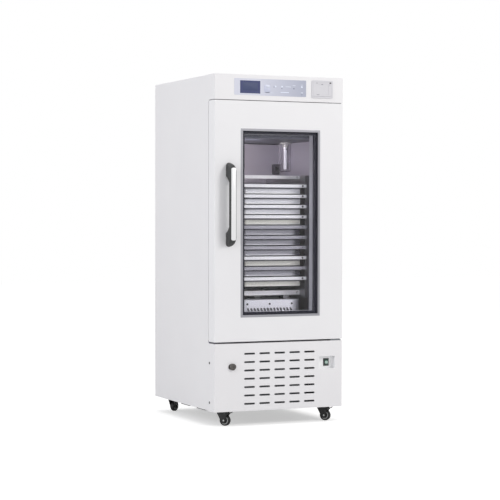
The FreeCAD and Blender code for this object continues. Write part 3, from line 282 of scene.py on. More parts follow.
def makeSatinFrameSteel():
    # satin stainless of the carriage's side frames
    return texturedSurface({"name": "satinFrameSteel", "colour": "#B9B8BC", "shade": "#A2A1A6", "patch": 70,
                            "grain": 0.9, "stretch": (1, 1, 0.05), "roughness": (0.28, 0.42), "bump": 0.12,
                            "depth": 0.04, "metallic": 0.9})


def makeGalvanisedSteel():
    # hot-dip zinc: grey with a mottled spangle of a few millimetres
    return texturedSurface({"name": "galvanisedSteel", "colour": "#A4A7AA", "shade": "#7F8387", "patch": 9,
                            "grain": 3.0, "roughness": (0.35, 0.55), "bump": 0.15, "depth": 0.05,
                            "metallic": 0.85})


def makeBlackEnamel():
    # black stoving enamel on pressed steel, semi-gloss with a slight peel
    return texturedSurface({"name": "blackEnamel", "colour": "#101112", "shade": "#17181A", "patch": 40,
                            "grain": 1.2, "roughness": (0.28, 0.42), "bump": 0.15, "depth": 0.05})


def makeBlackNylon():
    # moulded glass-filled nylon, fine spark-eroded grain
    return texturedSurface({"name": "blackNylon", "colour": "#2A2B2B", "shade": "#333434", "patch": 30,
                            "grain": 0.7, "roughness": (0.38, 0.52), "bump": 0.22, "depth": 0.05})


def makeGreyAbs():
    # moulded ABS, light grey, matt with a fine leather grain
    return texturedSurface({"name": "greyAbs", "colour": "#D8D7DC", "shade": "#CFCED4", "patch": 60,
                            "grain": 0.8, "roughness": (0.40, 0.52), "bump": 0.15, "depth": 0.04})


def makePolyesterFilm():
    # screen-printed polyester membrane: lavender grey with a velvet gloss, darker towards one end
    return texturedSurface({"name": "polyesterFilm", "patch": 120, "grain": 0.6, "roughness": (0.30, 0.42),
                            "bump": 0.08, "depth": 0.02,
                            "bands": {"axis": "X", "stops": [(0.3, "#D4D6E4"), (1, "#AAAEC0")]}})


def makeAnodisedTrim():
    # satin anodised aluminium extrusion, drawn lines along its length
    return texturedSurface({"name": "anodisedTrim", "colour": "#A4A4AA", "shade": "#98989F", "patch": 80,
                            "grain": 0.8, "stretch": (0.3, 1, 0.3), "roughness": (0.28, 0.40), "bump": 0.08,
                            "depth": 0.03, "metallic": 0.6})


def makeSilverLacquer():
    # silver-white lacquered aluminium strip of the handle
    return texturedSurface({"name": "silverLacquer", "colour": "#F0F0F1", "shade": "#E6E6E8", "patch": 90,
                            "grain": 0.6, "stretch": (1, 1, 0.1), "roughness": (0.22, 0.32), "bump": 0.06,
                            "depth": 0.02, "coat": 0.5})


def makeNickelPlate():
    # dull nickel-plated brass of the key lock
    return texturedSurface({"name": "nickelPlate", "colour": "#6E6B69", "shade": "#575452", "patch": 14,
                            "grain": 0.6, "roughness": (0.26, 0.40), "bump": 0.10, "depth": 0.03,
                            "metallic": 0.8})


def makeCoreSkin():
    # vacuum-formed inner skin over foam, pale and softly grained
    return texturedSurface({"name": "coreSkin", "colour": "#C9C9CF", "shade": "#BCBCC3", "patch": 110,
                            "grain": 1.2, "roughness": (0.42, 0.55), "bump": 0.12, "depth": 0.05})


def makeInsulatingFoam():
    # rigid polyurethane foam: cream, open and matt
    return texturedSurface({"name": "insulatingFoam", "colour": "#E3DBC2", "shade": "#D2C8AA", "patch": 20,
                            "grain": 1.5, "roughness": (0.85, 0.95), "bump": 0.5, "depth": 0.4})


def makeSealVinyl():
    # soft PVC bellows seal, mid grey
    return texturedSurface({"name": "sealVinyl", "colour": "#5A5A5E", "shade": "#4B4B4F", "patch": 50,
                            "grain": 1.0, "roughness": (0.50, 0.62), "bump": 0.10, "depth": 0.04})


def makeEdgeBand():
    # black ceramic frit and butyl spacer round the glass
    return texturedSurface({"name": "edgeBand", "colour": "#34343E", "shade": "#3C3C48", "patch": 70,
                            "grain": 0.8, "roughness": (0.30, 0.42), "bump": 0.05, "depth": 0.02})


def makeZincScrew():
    # zinc-plated screw, dark in its socket
    return texturedSurface({"name": "zincScrew", "colour": "#77777A", "shade": "#5C5C5F", "patch": 6,
                            "grain": 0.5, "roughness": (0.30, 0.45), "bump": 0.10, "depth": 0.03,
                            "metallic": 0.8})


def makeRockerPlastic():
    # dark green polycarbonate, glossy
    return texturedSurface({"name": "rockerPlastic", "colour": "#35564C", "shade": "#2C4A41", "patch": 12,
                            "grain": 0.8, "roughness": (0.18, 0.26), "bump": 0.04, "depth": 0.02})


def makeTyreRubber():
    # hard black polyurethane tread
    return texturedSurface({"name": "tyreRubber", "colour": "#1C1C1D", "shade": "#262627", "patch": 18,
                            "grain": 0.7, "roughness": (0.50, 0.66), "bump": 0.25, "depth": 0.06})


def makeWhiteMoulding():
    # moulded white polypropylene
    return texturedSurface({"name": "whiteMoulding", "colour": "#E4E4E2", "shade": "#DAD9D6", "patch": 40,
                            "grain": 0.8, "roughness": (0.34, 0.46), "bump": 0.10, "depth": 0.04})


def makeDisplayLens():
    # etched acrylic over a liquid crystal: slate blue, satin, without a lamp's image in it
    return texturedSurface({"name": "displayLens", "colour": "#4A5076", "shade": "#41466A", "patch": 40,
                            "grain": 1.2, "roughness": (0.42, 0.50), "bump": 0.02, "depth": 0.02, "ior": 1.3,
                            "glow": ("#454A6B", 0.08)})


def makeClearGlass(name, ior):
    # clear low-iron glass; lets lamp light through without caustics
    material, tree = newMaterial(name)
    pane = addNode(tree, "ShaderNodeBsdfPrincipled", None,
                   {"Base Color": linear("#FCFCFD"), "Roughness": 0.0, "IOR": ior, "Transmission Weight": 1.0})
    clear = addNode(tree, "ShaderNodeBsdfTransparent", None, {"Color": linear("#FCFCFD")})
    rays = addNode(tree, "ShaderNodeLightPath")
    soft = addNode(tree, "ShaderNodeMath", {"operation": "MAXIMUM"},
                   {0: rays.outputs["Is Shadow Ray"], 1: rays.outputs["Is Diffuse Ray"]})
    finishMaterial(tree, addNode(tree, "ShaderNodeMixShader", None,
                                 {0: soft.outputs[0], 1: pane.outputs[0], 2: clear.outputs[0]}))
    return material


materials = {
    "white_enamel": makePowderCoatedSteel(),
    "door_enamel": makeDoorPowderCoat(),
    "core_foam": makeCoreSkin(),
    "stainless": makePolishedStainless(),
    "tray_steel": makeTraySteel("brightTraySteel", "bright"),
    "frame_steel": makeSatinFrameSteel(),
    "galvanised": makeGalvanisedSteel(),
    "black_paint": makeBlackEnamel(),
    "overlay_film": makePolyesterFilm(),
    "display_lens": makeDisplayLens(),
    "recorder_plastic": makeGreyAbs(),
    "lock_metal": makeNickelPlate(),
    "black_plastic": makeBlackNylon(),
    "rocker_green": makeRockerPlastic(),
    "trim_grey": makeAnodisedTrim(),
    "clear_glass": makeClearGlass("coatedWindowGlass", 1.2),  # anti-reflection coat: faint mirror images
    "lamp_glass": makeClearGlass("clearPolycarbonate", 1.4),
    "spacer_black": makeEdgeBand(),
    "seal_rubber": makeSealVinyl(),
    "strip_silver": makeSilverLacquer(),
    "tyre_black": makeTyreRubber(),
    "screw_steel": makeZincScrew(),
    "compressor_black": makeBlackEnamel(),
    "white_plastic": makeWhiteMoulding(),
}


def paintFaces(thing, material, chosen):
    # a second material on the faces that chosen(centre, normal, low corner, high corner) picks
    low, high = corners(thing.name)
    thing.data.materials.append(material)
    slot = len(thing.data.materials) - 1
    turn = thing.matrix_world.to_3x3()
    for face in thing.data.polygons:
        centre = thing.matrix_world @ face.center
        if chosen(centre, (turn @ face.normal).normalized(), low, high):
            face.material_index = slot


def dressFrameNodes():
    slotOf = {part["node"]: part["material_slot"] for part in frame["record"]["subparts"]}
    for name, thing in nodes.items():
        thing.data.materials.clear()
        thing.data.materials.append(materials[slotOf[name]])
    nodes["insulation_foam"].data.materials[0] = makeInsulatingFoam()
    # painted reflection: trays 5, 6, 7 and 9 get the grey set of tones, 8 and 10 the warm set, 4 the pale set
    greyReflection = makeTraySteel("greyReflectionTraySteel", "greyReflection", frameReflectionEnd)
    for name in ("tray_05", "tray_06", "tray_07", "tray_09"):
        nodes[name].data.materials[0] = greyReflection
    warm = makeTraySteel("warmTraySteel", "warm")
    for name in ("tray_08", "tray_10"):
        nodes[name].data.materials[0] = warm
    nodes["tray_04"].data.materials[0] = makeTraySteel("paleTraySteel", "pale")
    nodes["agitator_cover"].data.materials[0] = makeCoverSteel()
    nodes["cover_screws"].data.materials[0] = makeScrewBlackAndShade()
    nodes["switch_bezel"].data.materials[0] = materials["compressor_black"]
    # painted light: the switch's recess moulding is whiter than the panel round it, to cancel the shade that falls
    # in the recess
    nodes["switch_cup"].data.materials[0] = texturedSurface(
        {"name": "whiteRecessPaintedLight", "colour": "#FAFAFB", "shade": "#F4F4F6", "patch": 40, "grain": 0.8,
         "roughness": (0.40, 0.50), "bump": 0.08, "depth": 0.02})
    # dark grey moulding of the socket on the rear wall
    nodes["inner_socket"].data.materials[0] = texturedSurface(
        {"name": "slateMoulding", "colour": "#524F59", "shade": "#47444E", "patch": 20, "grain": 0.7,
         "roughness": (0.42, 0.55), "bump": 0.10, "depth": 0.03})
    # painted light on the carriage frame's front fold faces
    paintFaces(nodes["carriage_frame"], makeLitFold(),
               lambda centre, normal, low, high: normal.y < -0.9 and abs(centre.y - low.y - 0.056) < 0.003)
    # dark on the agitator cover's foremost faces, and painted shade on the walls of its slots
    paintFaces(nodes["agitator_cover"], makeScrewBlackAndShade(),
               lambda centre, normal, low, high: centre.y < low.y + 0.0015 or
               (centre.y < low.y + 0.0045 and abs(normal.y) < 0.5 and abs(normal.z) < 0.99))
    # painted shade on the liner's ceiling; painted reflection and painted shade on its front fold
    paintFaces(nodes["inner_liner"], makeShadedCeilingStainless(),
               lambda centre, normal, low, high: normal.z < -0.5 and centre.z > high.z - 0.2)
    paintFaces(nodes["inner_liner"], makeFlangeSteel(),
               lambda centre, normal, low, high: normal.y < -0.9 and centre.y < low.y + 0.002)


dressFrameNodes()
print("frame nodes dressed")


# mesh helpers for the pieces added to the frame
def placeMesh(name, mesh, material, body, smooth=True):
    thing = bpy.data.objects.new(name, mesh)
    bpy.context.scene.collection.objects.link(thing)
    mesh.materials.append(material)
    if smooth:
        mesh.shade_smooth()
        mesh.set_sharp_from_angle(angle=math.radians(35))
    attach(thing, body)
    return thing


def roundedPlate(name, left, right, low, high, front, back, radius, bevel=0.0, steps=6):
    # plate facing -Y with rounded corners; its front rim is bevelled
    mesh = bpy.data.meshes.new(name)
    rings = [(back, 0.0), (front + bevel, 0.0)]
    if bevel:
        rings += [(front + bevel * 0.3, bevel * 0.3), (front, bevel)]
    work = bmesh.new()
    loops = []
    for y, inset in rings:
        loop = []
        for cx, cz, start in ((right, high, 0), (left, high, 90), (left, low, 180), (right, low, 270)):
            r = max(radius - inset, 1e-5)
            mx = cx - math.copysign(radius, cx - (left + right) / 2)
            mz = cz - math.copysign(radius, cz - (low + high) / 2)
            for i in range(steps + 1):
                a = math.radians(start + 90 * i / steps)
                loop.append(work.verts.new((mx + r * math.cos(a), y, mz + r * math.sin(a))))
        loops.append(loop)
    for a, b in zip(loops, loops[1:]):
        for i in range(len(a)):
            j = (i + 1) % len(a)
            work.faces.new((a[i], a[j], b[j], b[i]))
    work.faces.new(loops[-1])
    work.faces.new(loops[0][::-1])
    bmesh.ops.recalc_face_normals(work, faces=work.faces)
    work.to_mesh(mesh)
    work.free()
    return mesh


def latheMesh(name, profile, centre, axis, steps=48):
    # profile: (radius, distance along the axis); closed when its first point repeats at its end
    mesh = bpy.data.meshes.new(name)
    turn = Vector((0, 0, 1)).rotation_difference(Vector(axis)).to_matrix()
    work = bmesh.new()
    rings = []
    for radius, along in profile:
        if radius < 1e-6:
            rings.append([work.verts.new(Vector(centre) + turn @ Vector((0, 0, along)))])
            continue
        rings.append([work.verts.new(Vector(centre) + turn @ Vector((
            radius * math.cos(2 * math.pi * i / steps), radius * math.sin(2 * math.pi * i / steps), along)))
            for i in range(steps)])
    for a, b in zip(rings, rings[1:]):
        for i in range(steps):
            j = (i + 1) % steps
            if len(a) == 1 and len(b) > 1:
                work.faces.new((a[0], b[j], b[i]))
            elif len(b) == 1 and len(a) > 1:
                work.faces.new((a[i], a[j], b[0]))
            elif len(a) > 1:
                work.faces.new((a[i], a[j], b[j], b[i]))
    bmesh.ops.remove_doubles(work, verts=work.verts, dist=1e-6)
    bmesh.ops.recalc_face_normals(work, faces=work.faces)
    work.to_mesh(mesh)
    work.free()
    return mesh


# control overlay: printed keys, lamps and the display
overlayPrint = {
    "keyProud": 0.25,
    "inks": {"faint": "#C6CADE", "soft": "#C9CEDD", "pale": "#DDE3F2", "dark": "#858AA0"},
    # ink, middle x, middle z above the panel's lower edge, width, height in mm
    "marks": [("faint", -63, 31, 31, 36), ("soft", -59, 39, 18, 10), ("pale", -22, 42.7, 8, 7),
              ("soft", 41, 42.5, 28, 5), ("soft", 70, 49, 16, 4), ("pale", 24, 17, 42, 3.5),
              ("soft", -58, 14, 38, 3), ("pale", 109.5, 44, 8, 7), ("soft", 110.5, 18, 10, 5),
              ("pale", 10.2, 43, 7, 7), ("dark", -29, 40.3, 5, 4), ("dark", 9.5, 34.3, 6, 3.5),
              ("dark", 70, 35.7, 9, 5), ("dark", 109.5, 9.4, 9, 3), ("soft", 109.4, 52.8, 10, 3)],
}


def makeOverlayPrint():
    low = corners("control_overlay")[0]
    front = low.y
    proud = overlayPrint["keyProud"] * mm
    inks = {}
    for name, colour in overlayPrint["inks"].items():
        # screen-printed ink on the film, slightly glossy
        inks[name] = texturedSurface({"name": name + "KeyInk", "colour": colour, "shade": colour, "patch": 30,
                                      "grain": 0.5, "roughness": (0.28, 0.38), "bump": 0.05, "depth": 0.02})
    for index, (ink, x, z, width, height) in enumerate(overlayPrint["marks"]):
        layer = front - (proud if index == 1 else 0)
        mesh = roundedPlate("key", (x - width / 2) * mm, (x + width / 2) * mm, low.z + (z - height / 2) * mm,
                            low.z + (z + height / 2) * mm, layer - proud, layer, 0.3 * min(width, height) * mm,
                            proud / 2)
        placeMesh("overlayMark%d" % index, mesh, inks[ink], "cabinet")


# margins of the lit field inside the lens, in mm
displaySettings = {"left": 12.8, "right": 12.3, "low": 13.8, "high": 8.1, "proud": 0.3}


def makeDisplay():
    low, high = corners("display_window")
    proud = displaySettings["proud"] * mm
    # liquid crystal seen through the lens: an even, dim slate field
    field = texturedSurface({"name": "liquidCrystal", "colour": "#48506F", "shade": "#434A69", "patch": 26,
                             "grain": 0.8, "roughness": (0.44, 0.52), "bump": 0.02, "depth": 0.01, "ior": 1.3,
                             "glow": ("#46506E", 0.10)})
    mesh = roundedPlate("field", low.x + displaySettings["left"] * mm, high.x - displaySettings["right"] * mm,
                        low.z + displaySettings["low"] * mm, high.z - displaySettings["high"] * mm,
                        low.y - proud, low.y, 2 * mm, proud / 2)
    placeMesh("displayField", mesh, field, "cabinet")


makeOverlayPrint()
makeDisplay()
print("control panel printed")


# chamber lamp: holder, white tube and clear guard in place of the plain solids
chamberLamp = {"guardRadius": 28.0, "guardWall": 1.6, "tubeRadius": 7.5, "holderHeight": 22.0,
               "clipHeight": 15.0}


def makeChamberLamp():
    low, high = corners("chamber_lamp")
    middle = (low + high) / 2
    x, y = middle.x, middle.y
    top, bottom = high.z, low.z
    outer = chamberLamp["guardRadius"] * mm
    inner = outer - chamberLamp["guardWall"] * mm
    guardProfile = [(outer, top - 2 * mm), (outer, bottom + 8 * mm)]
    guardProfile += [(outer - 8 * mm * (1 - math.cos(a)), bottom + 8 * mm * (1 - math.sin(a)))
                     for a in (math.radians(d) for d in (22, 45, 68, 90))]
    guardProfile += [(0, bottom), (0, bottom + 1.6 * mm)]
    guardProfile += [(inner - 7 * mm * (1 - math.cos(a)), bottom + 1.6 * mm + 7 * mm * (1 - math.sin(a)))
                     for a in (math.radians(d) for d in (90, 68, 45, 22, 0))]
    guardProfile += [(inner, top - 2 * mm), (outer, top - 2 * mm)]
    guard = placeMesh("lampGuard", latheMesh("guard", guardProfile, (x, y, 0), (0, 0, 1), 48),
                      materials["lamp_glass"], "cabinet")
    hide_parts("chamber_lamp")
    r = chamberLamp["tubeRadius"] * mm
    tubeTop = top - chamberLamp["holderHeight"] * mm
    tubeProfile = [(0, bottom + 10 * mm), (r * 0.6, bottom + 10.8 * mm), (r * 0.92, bottom + 13 * mm),
                   (r, bottom + 17 * mm), (r, tubeTop), (0, tubeTop)]
    tubeGlow = texturedSurface({"name": "opalTube", "colour": "#F2F2F6", "shade": "#E8E8EE", "patch": 20,
                                "grain": 0.8, "roughness": (0.15, 0.25), "bump": 0.02, "depth": 0.01,
                                "glow": ("#F4F2FA", 0.25)})
    placeMesh("lampTube", latheMesh("tube", tubeProfile, (x, y, 0), (0, 0, 1), 32), tubeGlow, "cabinet")
    holderProfile = [(0, tubeTop), (11 * mm, tubeTop), (13 * mm, tubeTop + 3 * mm), (13 * mm, top - 8 * mm),
                     (inner, top - 6 * mm), (inner, top), (0, top)]
    placeMesh("lampHolder", latheMesh("holder", holderProfile, (x, y, 0), (0, 0, 1), 40),
              makeWhiteMoulding(), "cabinet")
    clipProfile = [(0, 0), (3.2 * mm, 0), (3.2 * mm, 3 * mm), (2 * mm, 4.5 * mm), (0, 4.5 * mm)]
    clipZ = tubeTop - chamberLamp["clipHeight"] * mm + 6 * mm
    clipSpot = (x + 3 * mm, y - r + 1 * mm, clipZ)
    placeMesh("lampClipScrew", latheMesh("clip", clipProfile, clipSpot, (0, -1, 0), 20),
              materials["black_plastic"], "cabinet")


makeChamberLamp()
print("chamber lamp made")


# door handle: moulded frame with rounded ends, and its front strip
handleShape = {"middle": -249.5, "width": 30.0, "end": 14.0, "edge": 4.0, "bar": 17.0, "post": 62.0,
               "bend": 16.0, "slope": 14.0, "blend": 12.0, "stripWidth": 23.0, "stripLow": 29.0,
               "stripHigh": 24.0, "stripCorner": 8.0, "stripThick": 2.0}


def bend(first, pole, last, steps=8):
    # points of a quadratic curve, both ends included
    points = []
    for i in range(steps + 1):
        t = i / steps
        points.append(tuple((1 - t) ** 2 * a + 2 * t * (1 - t) * b + t * t * c
                            for a, b, c in zip(first, pole, last)))
    return points


def makeHandle():
    h = {key: value * mm for key, value in handleShape.items()}
    low, high = corners("handle_frame")
    back = corners("door_shell")[0].y
    z0, z1, front = low.z, high.z, corners("handle_strip")[0].y + h["stripThick"]
    step = h["bend"] + h["blend"]
    inner = front + h["bar"]
    outline = bend((back, z0), (front + h["bend"], z0 + h["slope"]), (front, z0 + h["slope"] + step))
    outline += bend((front, z1 - h["slope"] - step), (front + h["bend"], z1 - h["slope"]), (back, z1))
    gripTop, gripLow, pole = z1 - h["post"], z0 + h["post"], inner + h["bend"]
    outline += bend((back, gripTop), (pole, gripTop - 4 * mm), (inner, gripTop - step))
    outline += bend((inner, gripLow + step), (pole, gripLow + 4 * mm), (back, gripLow))
    half = h["width"] / 2
    work = bmesh.new()
    rings = []
    for share in (-1, -0.985, -0.94, -0.85, -0.7, -0.4, 0, 0.4, 0.7, 0.85, 0.94, 0.985, 1):
        side = abs(share) * half
        past = max(0.0, side - (half - h["end"]))
        pull = h["end"] - math.sqrt(max(0.0, h["end"] ** 2 - past ** 2))
        past = max(0.0, side - (half - h["edge"]))
        curve = h["edge"] - math.sqrt(max(0.0, h["edge"] ** 2 - past ** 2))
        rings.append([work.verts.new((h["middle"] + share * half, max(y, front + curve),
                                      min(max(z, z0 + pull), z1 - pull))) for y, z in outline])
    for a, b in zip(rings, rings[1:]):
        for i in range(len(a)):
            j = (i + 1) % len(a)
            work.faces.new((a[i], a[j], b[j], b[i]))
    work.faces.new(rings[0])
    work.faces.new(list(reversed(rings[-1])))
    bmesh.ops.recalc_face_normals(work, faces=work.faces)
    mesh = bpy.data.meshes.new("handle")
    work.to_mesh(mesh)
    work.free()
    frameOf = placeMesh("handleBar", mesh, materials["black_plastic"], "door", smooth=True)
    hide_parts("handle_frame")
    strip = roundedPlate("strip", h["middle"] - h["stripWidth"] / 2, h["middle"] + h["stripWidth"] / 2,
                         z0 + h["stripLow"], z1 - h["stripHigh"], front - h["stripThick"], front + 1 * mm,
                         h["stripCorner"], 0.8 * mm)
    plate = placeMesh("handleStrip", strip, materials["strip_silver"], "door")
    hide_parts("handle_strip")


makeHandle()
print("handle made")


# lower front: rims of painted shade round the vents and the cover's slots, lock plate, rocker lens; recorder latch
# and marks
ventShadeRims = {"columns": 5, "rows": 7, "left": -173.4, "low": 30.1, "pitchX": 74.8, "pitchZ": 37.5,
            "hole": (51.8, 6.0), "rim": (52.6, 8.2)}
coverShadeRims = {"count": 14, "left": -113.0, "pitch": 16.5, "rise": 54.0, "tilt": 116.0, "hole": (28.0, 5.0),
             "rim": (31.0, 8.4), "screwX": (-112, 0, 112), "screwRadius": 5.0}


def stadium(x, z, size, tilt, steps=8):
    # outline of a slot, size[0] long and size[1] wide, its length tilted from X
    r = size[1] / 2
    reach = size[0] / 2 - r
    turn = math.radians(tilt)
    points = []
    for way, start in ((1, -90), (-1, 90)):
        for i in range(steps + 1):
            a = math.radians(start + 180 * i / steps)
            u, v = way * reach + r * math.cos(a), r * math.sin(a)
            points.append(((x + u * math.cos(turn) - v * math.sin(turn)) * mm,
                           (z + u * math.sin(turn) + v * math.cos(turn)) * mm))
    return points


def makeRims(name, places, hole, rim, tilt, front, thick=0.25, material=None):
    # plates that stand on a face round each hole and leave it open; unless told otherwise they are dark, painted
    # shade round the hole
    proud = front - thick * mm
    work = bmesh.new()
    for x, z in places:
        loops = [[work.verts.new((px, y, pz)) for px, pz in stadium(x, z, size, tilt)]
                 for size, y in ((rim, front), (rim, proud), (hole, proud), (hole, front))]
        for a, b in zip(loops, loops[1:]):
            for i in range(len(a)):
                j = (i + 1) % len(a)
                work.faces.new((a[i], a[j], b[j], b[i]))
    bmesh.ops.remove_doubles(work, verts=work.verts, dist=1e-6)
    bmesh.ops.recalc_face_normals(work, faces=work.faces)
    mesh = bpy.data.meshes.new(name)
    work.to_mesh(mesh)
    work.free()
    placeMesh(name, mesh, material or makeScrewBlackAndShade(), "cabinet")


def makeSlotShadeRims():
    low = corners("base_front_cover")[0].z / mm + 2
    v = ventShadeRims
    places = [(v["left"] + column * v["pitchX"] + v["hole"][0] / 2, low + v["low"] + row * v["pitchZ"])
              for row in range(v["rows"]) for column in range(v["columns"])]
    makeRims("ventShadeRims", places, v["hole"], v["rim"], 0, corners("door_shell")[0].y)
    c = coverShadeRims
    low, high = corners("agitator_cover")
    face = low.y + 2 * mm
    places = [(c["left"] + (index + 0.5) * c["pitch"], low.z / mm + c["rise"] - 0.3)
              for index in range(c["count"])]
    makeRims("coverSlotShadeRims", places, c["hole"], c["rim"], c["tilt"], face)
    for index, x in enumerate(c["screwX"]):
        r = c["screwRadius"]
        z = high.z - 18 * mm
        disc = roundedPlate("washer", (x - r) * mm, (x + r) * mm, z - r * mm, z + r * mm, face - 0.8 * mm, face,
                            r * mm, 0.3 * mm)
        placeMesh("coverScrewWasher%d" % index, disc, makeScrewBlackAndShade(), "cabinet")


discSettings = {"radius": 4.5, "fromEnd": 20.0, "frameScrewX": (-131, 169)}


def makeDarkDiscs():
    # dark discs at the holes in the lips of the bright trays, and the screws of the carriage's cross pieces
    r = discSettings["radius"]
    darkDisc = makeScrewBlackAndShade()
    for number in (1, 2, 3, 4, 8, 10):
        low, high = corners("tray_%02d" % number)
        x, z = high.x - discSettings["fromEnd"] * mm, high.z - 7 * mm
        disc = roundedPlate("darkDisc", x - r * mm, x + r * mm, z - r * mm, z + r * mm, low.y - 0.6 * mm, low.y,
                            r * mm, 0.3 * mm)
        placeMesh("lipHoleDisc%02d" % number, disc, darkDisc, "tray_%02d_body" % number)
    low, high = corners("carriage_frame")
    face = low.y + 56 * mm
    for index, z in enumerate((high.z - 7.5 * mm, low.z + 26 * mm)):
        for side, x in zip("ab", discSettings["frameScrewX"]):
            disc = roundedPlate("screw", (x - r) * mm, (x + r) * mm, z - r * mm, z + r * mm,
                                face - 1 * mm, face, r * mm, 0.4 * mm)
            placeMesh("frameScrew%d%s" % (index, side), disc, darkDisc, "carriage")


lowerMarks = {"lockHalfWidth": 19.0, "lockHalfHeight": 13.2, "lockPlate": 2.0, "coreClear": 0.5,
              "lensHalfWidth": 6.5, "lensHalfHeight": 5.5, "sideScrewRadius": 4.0, "sideWasherDepth": 1.7,
              "sideWasher": [(2.6, 0), (2.6, 1.5), (5.0, 1.3), (5.8, 0.6), (5.8, 0), (2.6, 0)]}
recorderMarks = {"latch": (249, 257, 85.5, 91.5), "proud": 1.2,
                 # middle x, middle z above the head's lower edge, width, height in mm
                 "marks": [(185, 87, 7, 3), (212, 81.5, 8, 4), (190.6, 34, 14, 3)]}


def makeSmallFittings():
    low, high = corners("lock_ring")
    middle = (low + high) / 2
    face = corners("door_shell")[0].y
    coreLow, coreHigh = corners("lock_core")
    hole = (coreHigh.x - coreLow.x) / mm + 2 * lowerMarks["coreClear"]
    makeRims("lockPlate", [(middle.x / mm, middle.z / mm)], (hole, hole),
             (2 * lowerMarks["lockHalfWidth"], 2 * lowerMarks["lockHalfHeight"]), 0, face,
             lowerMarks["lockPlate"], materials["lock_metal"])
    low, high = corners("cover_screws")
    washer = [(value * mm, height * mm) for value, height in lowerMarks["sideWasher"]]
    r = lowerMarks["sideScrewRadius"] * mm
    for way, side in ((-1, "a"), (1, "b")):
        for index, z in enumerate((low.z + r, high.z - r)):
            at = Vector(((high.x - lowerMarks["sideWasherDepth"] * mm) * way, (low.y + high.y) / 2, z))
            mesh = latheMesh("washer", washer, at, Vector((way, 0, 0)), 24)
            placeMesh("sideWasher_%d%s" % (index, side), mesh, makeScrewBlackAndShade(), "cabinet")
    low, high = corners("switch_rocker")
    middle = (low + high) / 2
    lensPlastic = texturedSurface({"name": "rockerLens", "colour": "#A8BDB5", "shade": "#98B0A7", "patch": 8,
                                   "grain": 0.5, "roughness": (0.16, 0.24), "bump": 0.03, "depth": 0.02,
                                   "glow": ("#A8C8BC", 0.15)})
    halfWidth, halfHeight = lowerMarks["lensHalfWidth"] * mm, lowerMarks["lensHalfHeight"] * mm
    lens = roundedPlate("lens", middle.x - halfWidth, middle.x + halfWidth, middle.z - halfHeight,
                        middle.z + halfHeight, low.y - 0.3 * mm, low.y + 3 * mm, 1.5 * mm, 0.3 * mm)
    placeMesh("rockerLens", lens, lensPlastic, "power_rocker")
    leafFace = corners("recorder_body")[0].y
    headLow = corners("control_overlay")[0].z - 22 * mm
    left, right, below, above = (value * mm for value in recorderMarks["latch"])
    latch = roundedPlate("latch", left, right, headLow + below, headLow + above,
                         leafFace - recorderMarks["proud"] * mm, leafFace + 0.8 * mm, 1.5 * mm, 0.4 * mm)
    placeMesh("recorderLatch", latch, materials["black_plastic"], "recorder_lid")
    ink = texturedSurface({"name": "greyMarkInk", "colour": "#A8A8AE", "shade": "#A0A0A7", "patch": 12,
                           "grain": 0.5, "roughness": (0.40, 0.50), "bump": 0.04, "depth": 0.01})
    for index, (x, z, width, height) in enumerate(recorderMarks["marks"]):
        mark = roundedPlate("mark", (x - width / 2) * mm, (x + width / 2) * mm, headLow + (z - height / 2) * mm,
                            headLow + (z + height / 2) * mm, leafFace - 0.2 * mm, leafFace + 0.8 * mm, 0.8 * mm)
        placeMesh("recorderMark%d" % index, mark, ink, "recorder_lid")


makeSlotShadeRims()
makeDarkDiscs()
makeSmallFittings()
print("front fittings made")


# caster wheels: tread, hub with its pale ring, and the axle's cap
wheelSettings = {"radius": 25.0, "half": 10.0, "bed": 19.0, "ringOuter": 18.0, "ringInner": 14.5, "hub": 9.0,
                 "boss": 8.2, "bore": 4.05, "capReach": 17.6,
                 "cap": [(0, 1.6), (2.2, 1.4), (3.6, 0.6), (4.2, 0), (0, 0)]}
# side plate of a fork, from the axle: along the trail and up
cheekSettings = {"inside": 13.05, "thick": 0.8, "round": 13.5, "ahead": 4.0, "steps": 10,
                 "top": [(36.0, 34.0), (36.0, 39.5), (-16.0, 39.5), (-13.0, 22.0)]}


def makeForkCheeks(corner, centre, axis, kingpin):
    along = Vector((kingpin.x - centre.x, kingpin.y - centre.y, 0)).normalized()
    up = Vector((0, 0, 1))
    r, steps = cheekSettings["round"], cheekSettings["steps"]
    outline = [(cheekSettings["ahead"] + r * math.cos(a), r * math.sin(a))
               for a in (math.radians(180 + i * 180 / steps) for i in range(steps + 1))]
    outline += cheekSettings["top"]
    for way in (-1, 1):
        work = bmesh.new()
        loops = []
        for reach in (cheekSettings["inside"], cheekSettings["inside"] + cheekSettings["thick"]):
            at = centre + axis * way * reach * mm
            loops.append([work.verts.new(at + along * u * mm + up * v * mm) for u, v in outline])
        for i in range(len(outline)):
            j = (i + 1) % len(outline)
            work.faces.new((loops[0][i], loops[0][j], loops[1][j], loops[1][i]))
        for loop in loops:
            work.faces.new(loop)
        bmesh.ops.recalc_face_normals(work, faces=work.faces)
        mesh = bpy.data.meshes.new("cheek")
        work.to_mesh(mesh)
        work.free()
        placeMesh("forkCheek_%s_%s" % (corner, "a" if way < 0 else "b"), mesh, materials["black_paint"],
                  "caster_" + corner)


